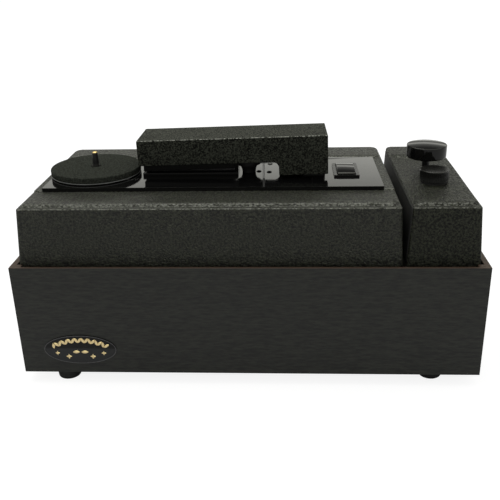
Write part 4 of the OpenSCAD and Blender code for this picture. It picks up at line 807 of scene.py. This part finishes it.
def make_badge():
    """An arch of leaves over small crosses and two buds, inside a raised rim."""
    lo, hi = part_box("badge_emblem")
    plate_lo, plate_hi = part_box("badge_plate")
    cx, cz = (lo.x + hi.x) / 2, (lo.z + hi.z) / 2
    low, high = lo.y, hi.y
    verts, faces = [], []

    def motif(x, z, shape, lean=0.0, sink=0.0):
        """A thin raised motif whose outline is given in millimetres about its centre."""
        turn = math.radians(lean)
        ring = [(cx + (x + u * math.cos(turn) - v * math.sin(turn)) * MM,
                 cz + (z + u * math.sin(turn) + v * math.cos(turn)) * MM) for u, v in shape]
        start, count = len(verts), len(ring)
        for y, scale in ((high, 1.0), (low + sink * MM, 0.86)):
            mx, mz = cx + x * MM, cz + z * MM
            verts.extend((mx + (u - mx) * scale, y, mz + (v - mz) * scale) for u, v in ring)
        faces.append(tuple(range(start, start + count)))
        faces.append(tuple(range(start + count, start + 2 * count)))
        faces.extend(ring_faces(range(start, start + count), range(start + count, start + 2 * count)))

    def leaf(length, width):
        """The outline of an upright leaf about its centre."""
        steps = 7
        side = []
        for k in range(1, steps):
            side.append((width / 2 * math.sin(math.pi * k / steps) ** 0.8, length * (k / steps - 0.5)))
        return [(0, -length / 2)] + side + [(0, length / 2)] + [(-u, v) for u, v in reversed(side)]

    for k in range(-8, 9):
        x = LEAF_STEP * k
        z = ARCH_TOP - ARCH_DROP * (x / ARCH_HALF) ** 2
        motif(x, z, leaf(7.0, 3.1), (28 if k % 2 else -28) - 1.1 * x, 0.05 * (k % 2))
    for x, z, size in CROSSES:
        motif(x, z, leaf(5.4 * size, 2.1 * size))
        motif(x, z, leaf(5.4 * size, 2.1 * size), 90, 0.05)
    for x, z in BUD_SPOTS:
        motif(x, z, leaf(8.0, 3.4), 90)
    piece("badge_garland", verts, faces, "badge_emblem", sharp=20)

    steps = 96
    rx, rz = (plate_hi.x - plate_lo.x) / 2, (plate_hi.z - plate_lo.z) / 2
    px, pz = (plate_lo.x + plate_hi.x) / 2, (plate_lo.z + plate_hi.z) / 2
    inner, outer = 0.9 * MM, 0.1 * MM
    back, shoulder = high + 0.3 * MM, low + 0.08 * MM
    section = ((outer, back), (outer, shoulder), (0.3 * MM, low),
               (0.7 * MM, low), (inner, shoulder), (inner, back))
    verts, faces = [], []
    for inset, y in section:
        for k in range(steps):
            angle = 2 * math.pi * k / steps
            verts.append((px + (rx - inset) * math.cos(angle), y, pz + (rz - inset) * math.sin(angle)))
    rows = [range(i * steps, (i + 1) * steps) for i in range(len(section))]
    for first, second in zip(rows, rows[1:] + rows[:1]):
        faces += ring_faces(first, second)
    piece("badge_rim", verts, faces, "badge_plate", replaces=False, finish="badge_rim")


# Studio
def make_world():
    world = bpy.data.worlds.new("studio")
    bpy.context.scene.world = world
    world.use_nodes = True
    tree = world.node_tree
    tree.nodes.clear()
    direction = add(tree, "ShaderNodeTexCoord").outputs["Generated"]
    axes = add(tree, "ShaderNodeSeparateXYZ", {"Vector": direction})
    ramp = add(tree, "ShaderNodeValToRGB", {"Fac": axes.outputs["Z"]})
    stops = [(0.0, 0.9), (0.06, 0.4), (0.13, 0.2), (0.2, 0.25), (0.258, 0.98),
             (0.30, 0.68), (0.34, 0.3), (0.5, 0.08), (1.0, 0.08)]
    while len(ramp.color_ramp.elements) < len(stops):
        ramp.color_ramp.elements.new(0.5)
    for element, (spot, level) in zip(ramp.color_ramp.elements, stops):
        element.position = spot
        element.color = (level, level, level, 1)
    back = span(tree, axes.outputs["Y"], -0.3, 0.4)
    sweep = mix(tree, back, (0.16, 0.163, 0.16), ramp.outputs["Color"])
    overhead = span(tree, axes.outputs["Z"], 0.6, 0.75)
    glow = mix(tree, overhead, sweep, (1.4, 1.41, 1.28))
    tint = (1, 1, 0.925)
    toned = add(tree, "ShaderNodeVectorMath", {0: glow, 1: tint}, operation="MULTIPLY").outputs[0]
    glossy = add(tree, "ShaderNodeBackground", {"Color": toned, "Strength": 1.28})
    soft = add(tree, "ShaderNodeBackground", {"Color": (1, 1, 0.985, 1), "Strength": 0.55})
    white = add(tree, "ShaderNodeBackground", {"Color": (1, 1, 1, 1), "Strength": 1.1})
    rays = add(tree, "ShaderNodeLightPath").outputs
    lighting = {0: rays["Is Glossy Ray"], 1: soft.outputs[0], 2: glossy.outputs[0]}
    first = add(tree, "ShaderNodeMixShader", lighting)
    seen = {0: rays["Is Camera Ray"], 1: first.outputs[0], 2: white.outputs[0]}
    second = add(tree, "ShaderNodeMixShader", seen)
    out = add(tree, "ShaderNodeOutputWorld")
    tree.links.new(second.outputs[0], out.inputs["Surface"])


def make_light(name, place_at, look_at, width, depth, watts):
    data = bpy.data.lights.new(name, "AREA")
    data.shape = "RECTANGLE"
    data.size = width
    data.size_y = depth
    data.energy = watts
    light = bpy.data.objects.new(name, data)
    bpy.context.scene.collection.objects.link(light)
    light.location = place_at
    light.rotation_euler = (Vector(look_at) - Vector(place_at)).to_track_quat("-Z", "Y").to_euler()


def make_floor():
    size = 12.0
    corners = [(-size, -size, 0), (size, -size, 0), (size, size, 0), (-size, size, 0)]
    mesh = bpy.data.meshes.new("floor")
    mesh.from_pydata(corners, [], [(0, 1, 2, 3)])
    floor = bpy.data.objects.new("floor", mesh)
    bpy.context.scene.collection.objects.link(floor)
    material = bpy.data.materials.new("floor_paper")
    material.use_nodes = True
    tree = material.node_tree
    tree.nodes.clear()
    paper = add(tree, "ShaderNodeBsdfDiffuse", {"Color": (0.8, 0.8, 0.79, 1)})
    seen = add(tree, "ShaderNodeBsdfDiffuse", {"Color": (0.34, 0.34, 0.34, 1)})
    glow = add(tree, "ShaderNodeEmission", {"Color": (1, 1, 1, 1), "Strength": 0.86})
    lit = add(tree, "ShaderNodeAddShader")
    tree.links.new(seen.outputs[0], lit.inputs[0])
    tree.links.new(glow.outputs[0], lit.inputs[1])
    rays = add(tree, "ShaderNodeLightPath").outputs
    choice = {0: rays["Is Camera Ray"], 1: paper.outputs[0], 2: lit.outputs[0]}
    blend = add(tree, "ShaderNodeMixShader", choice)
    out = add(tree, "ShaderNodeOutputMaterial")
    tree.links.new(blend.outputs[0], out.inputs["Surface"])
    mesh.materials.append(material)


def make_studio():
    make_world()
    make_floor()
    make_light("top_light", (-0.2, 0.15, 1.35), (0, 0, 0.15), 1.3, 0.8, 6)
    bpy.context.scene.view_settings.view_transform = "Standard"


make_camera()
MATERIALS = make_materials()
for node_name, node in nodes.items():
    node.data.materials.clear()
    node.data.materials.append(MATERIALS[SLOT_OF[node_name]])
    node.data.shade_smooth()
    node.data.set_sharp_from_angle(angle=math.radians(30))

for node_name, width in {
    "cabinet_front": 0.35, "cabinet_back": 0.35, "cabinet_left": 0.35, "cabinet_right": 0.35,
    "cabinet_base": 0.35, "deck_plate": 0.3, "upper_pad": 0.4, "lower_lips": 0.3, "upper_lips": 0.3,
    "arm_shell": 1.1, "switch_bezel": 0.5, "hinge_bracket": 0.3, "power_inlet": 0.4, "platter_plate": 0.25,
}.items():
    soften(node_name, width * MM)

for finish, node_name in (("switch_frame", "switch_bezel"), ("badge_face", "badge_plate")):
    nodes[node_name].data.materials.clear()
    nodes[node_name].data.materials.append(MATERIALS[finish])

cover_mesh("main_cover_moulding", "main_cover", round_left=False, step_y=PLATEAU_Y,
           step_l=0.5 * MM, ditch=1.0 * MM, finish="moulded_cover")
cover_mesh("reservoir_cover_moulding", "reservoir_cover", round_left=True, step_y=SLOPE_Y,
           step_l=SLOPE_LENGTH, ditch=0.0, finish="reservoir_moulding")
make_platter()
make_knob()
make_spring()
make_cap()
make_feet()
make_rocker()
make_deck_pieces()
make_badge()
make_studio()
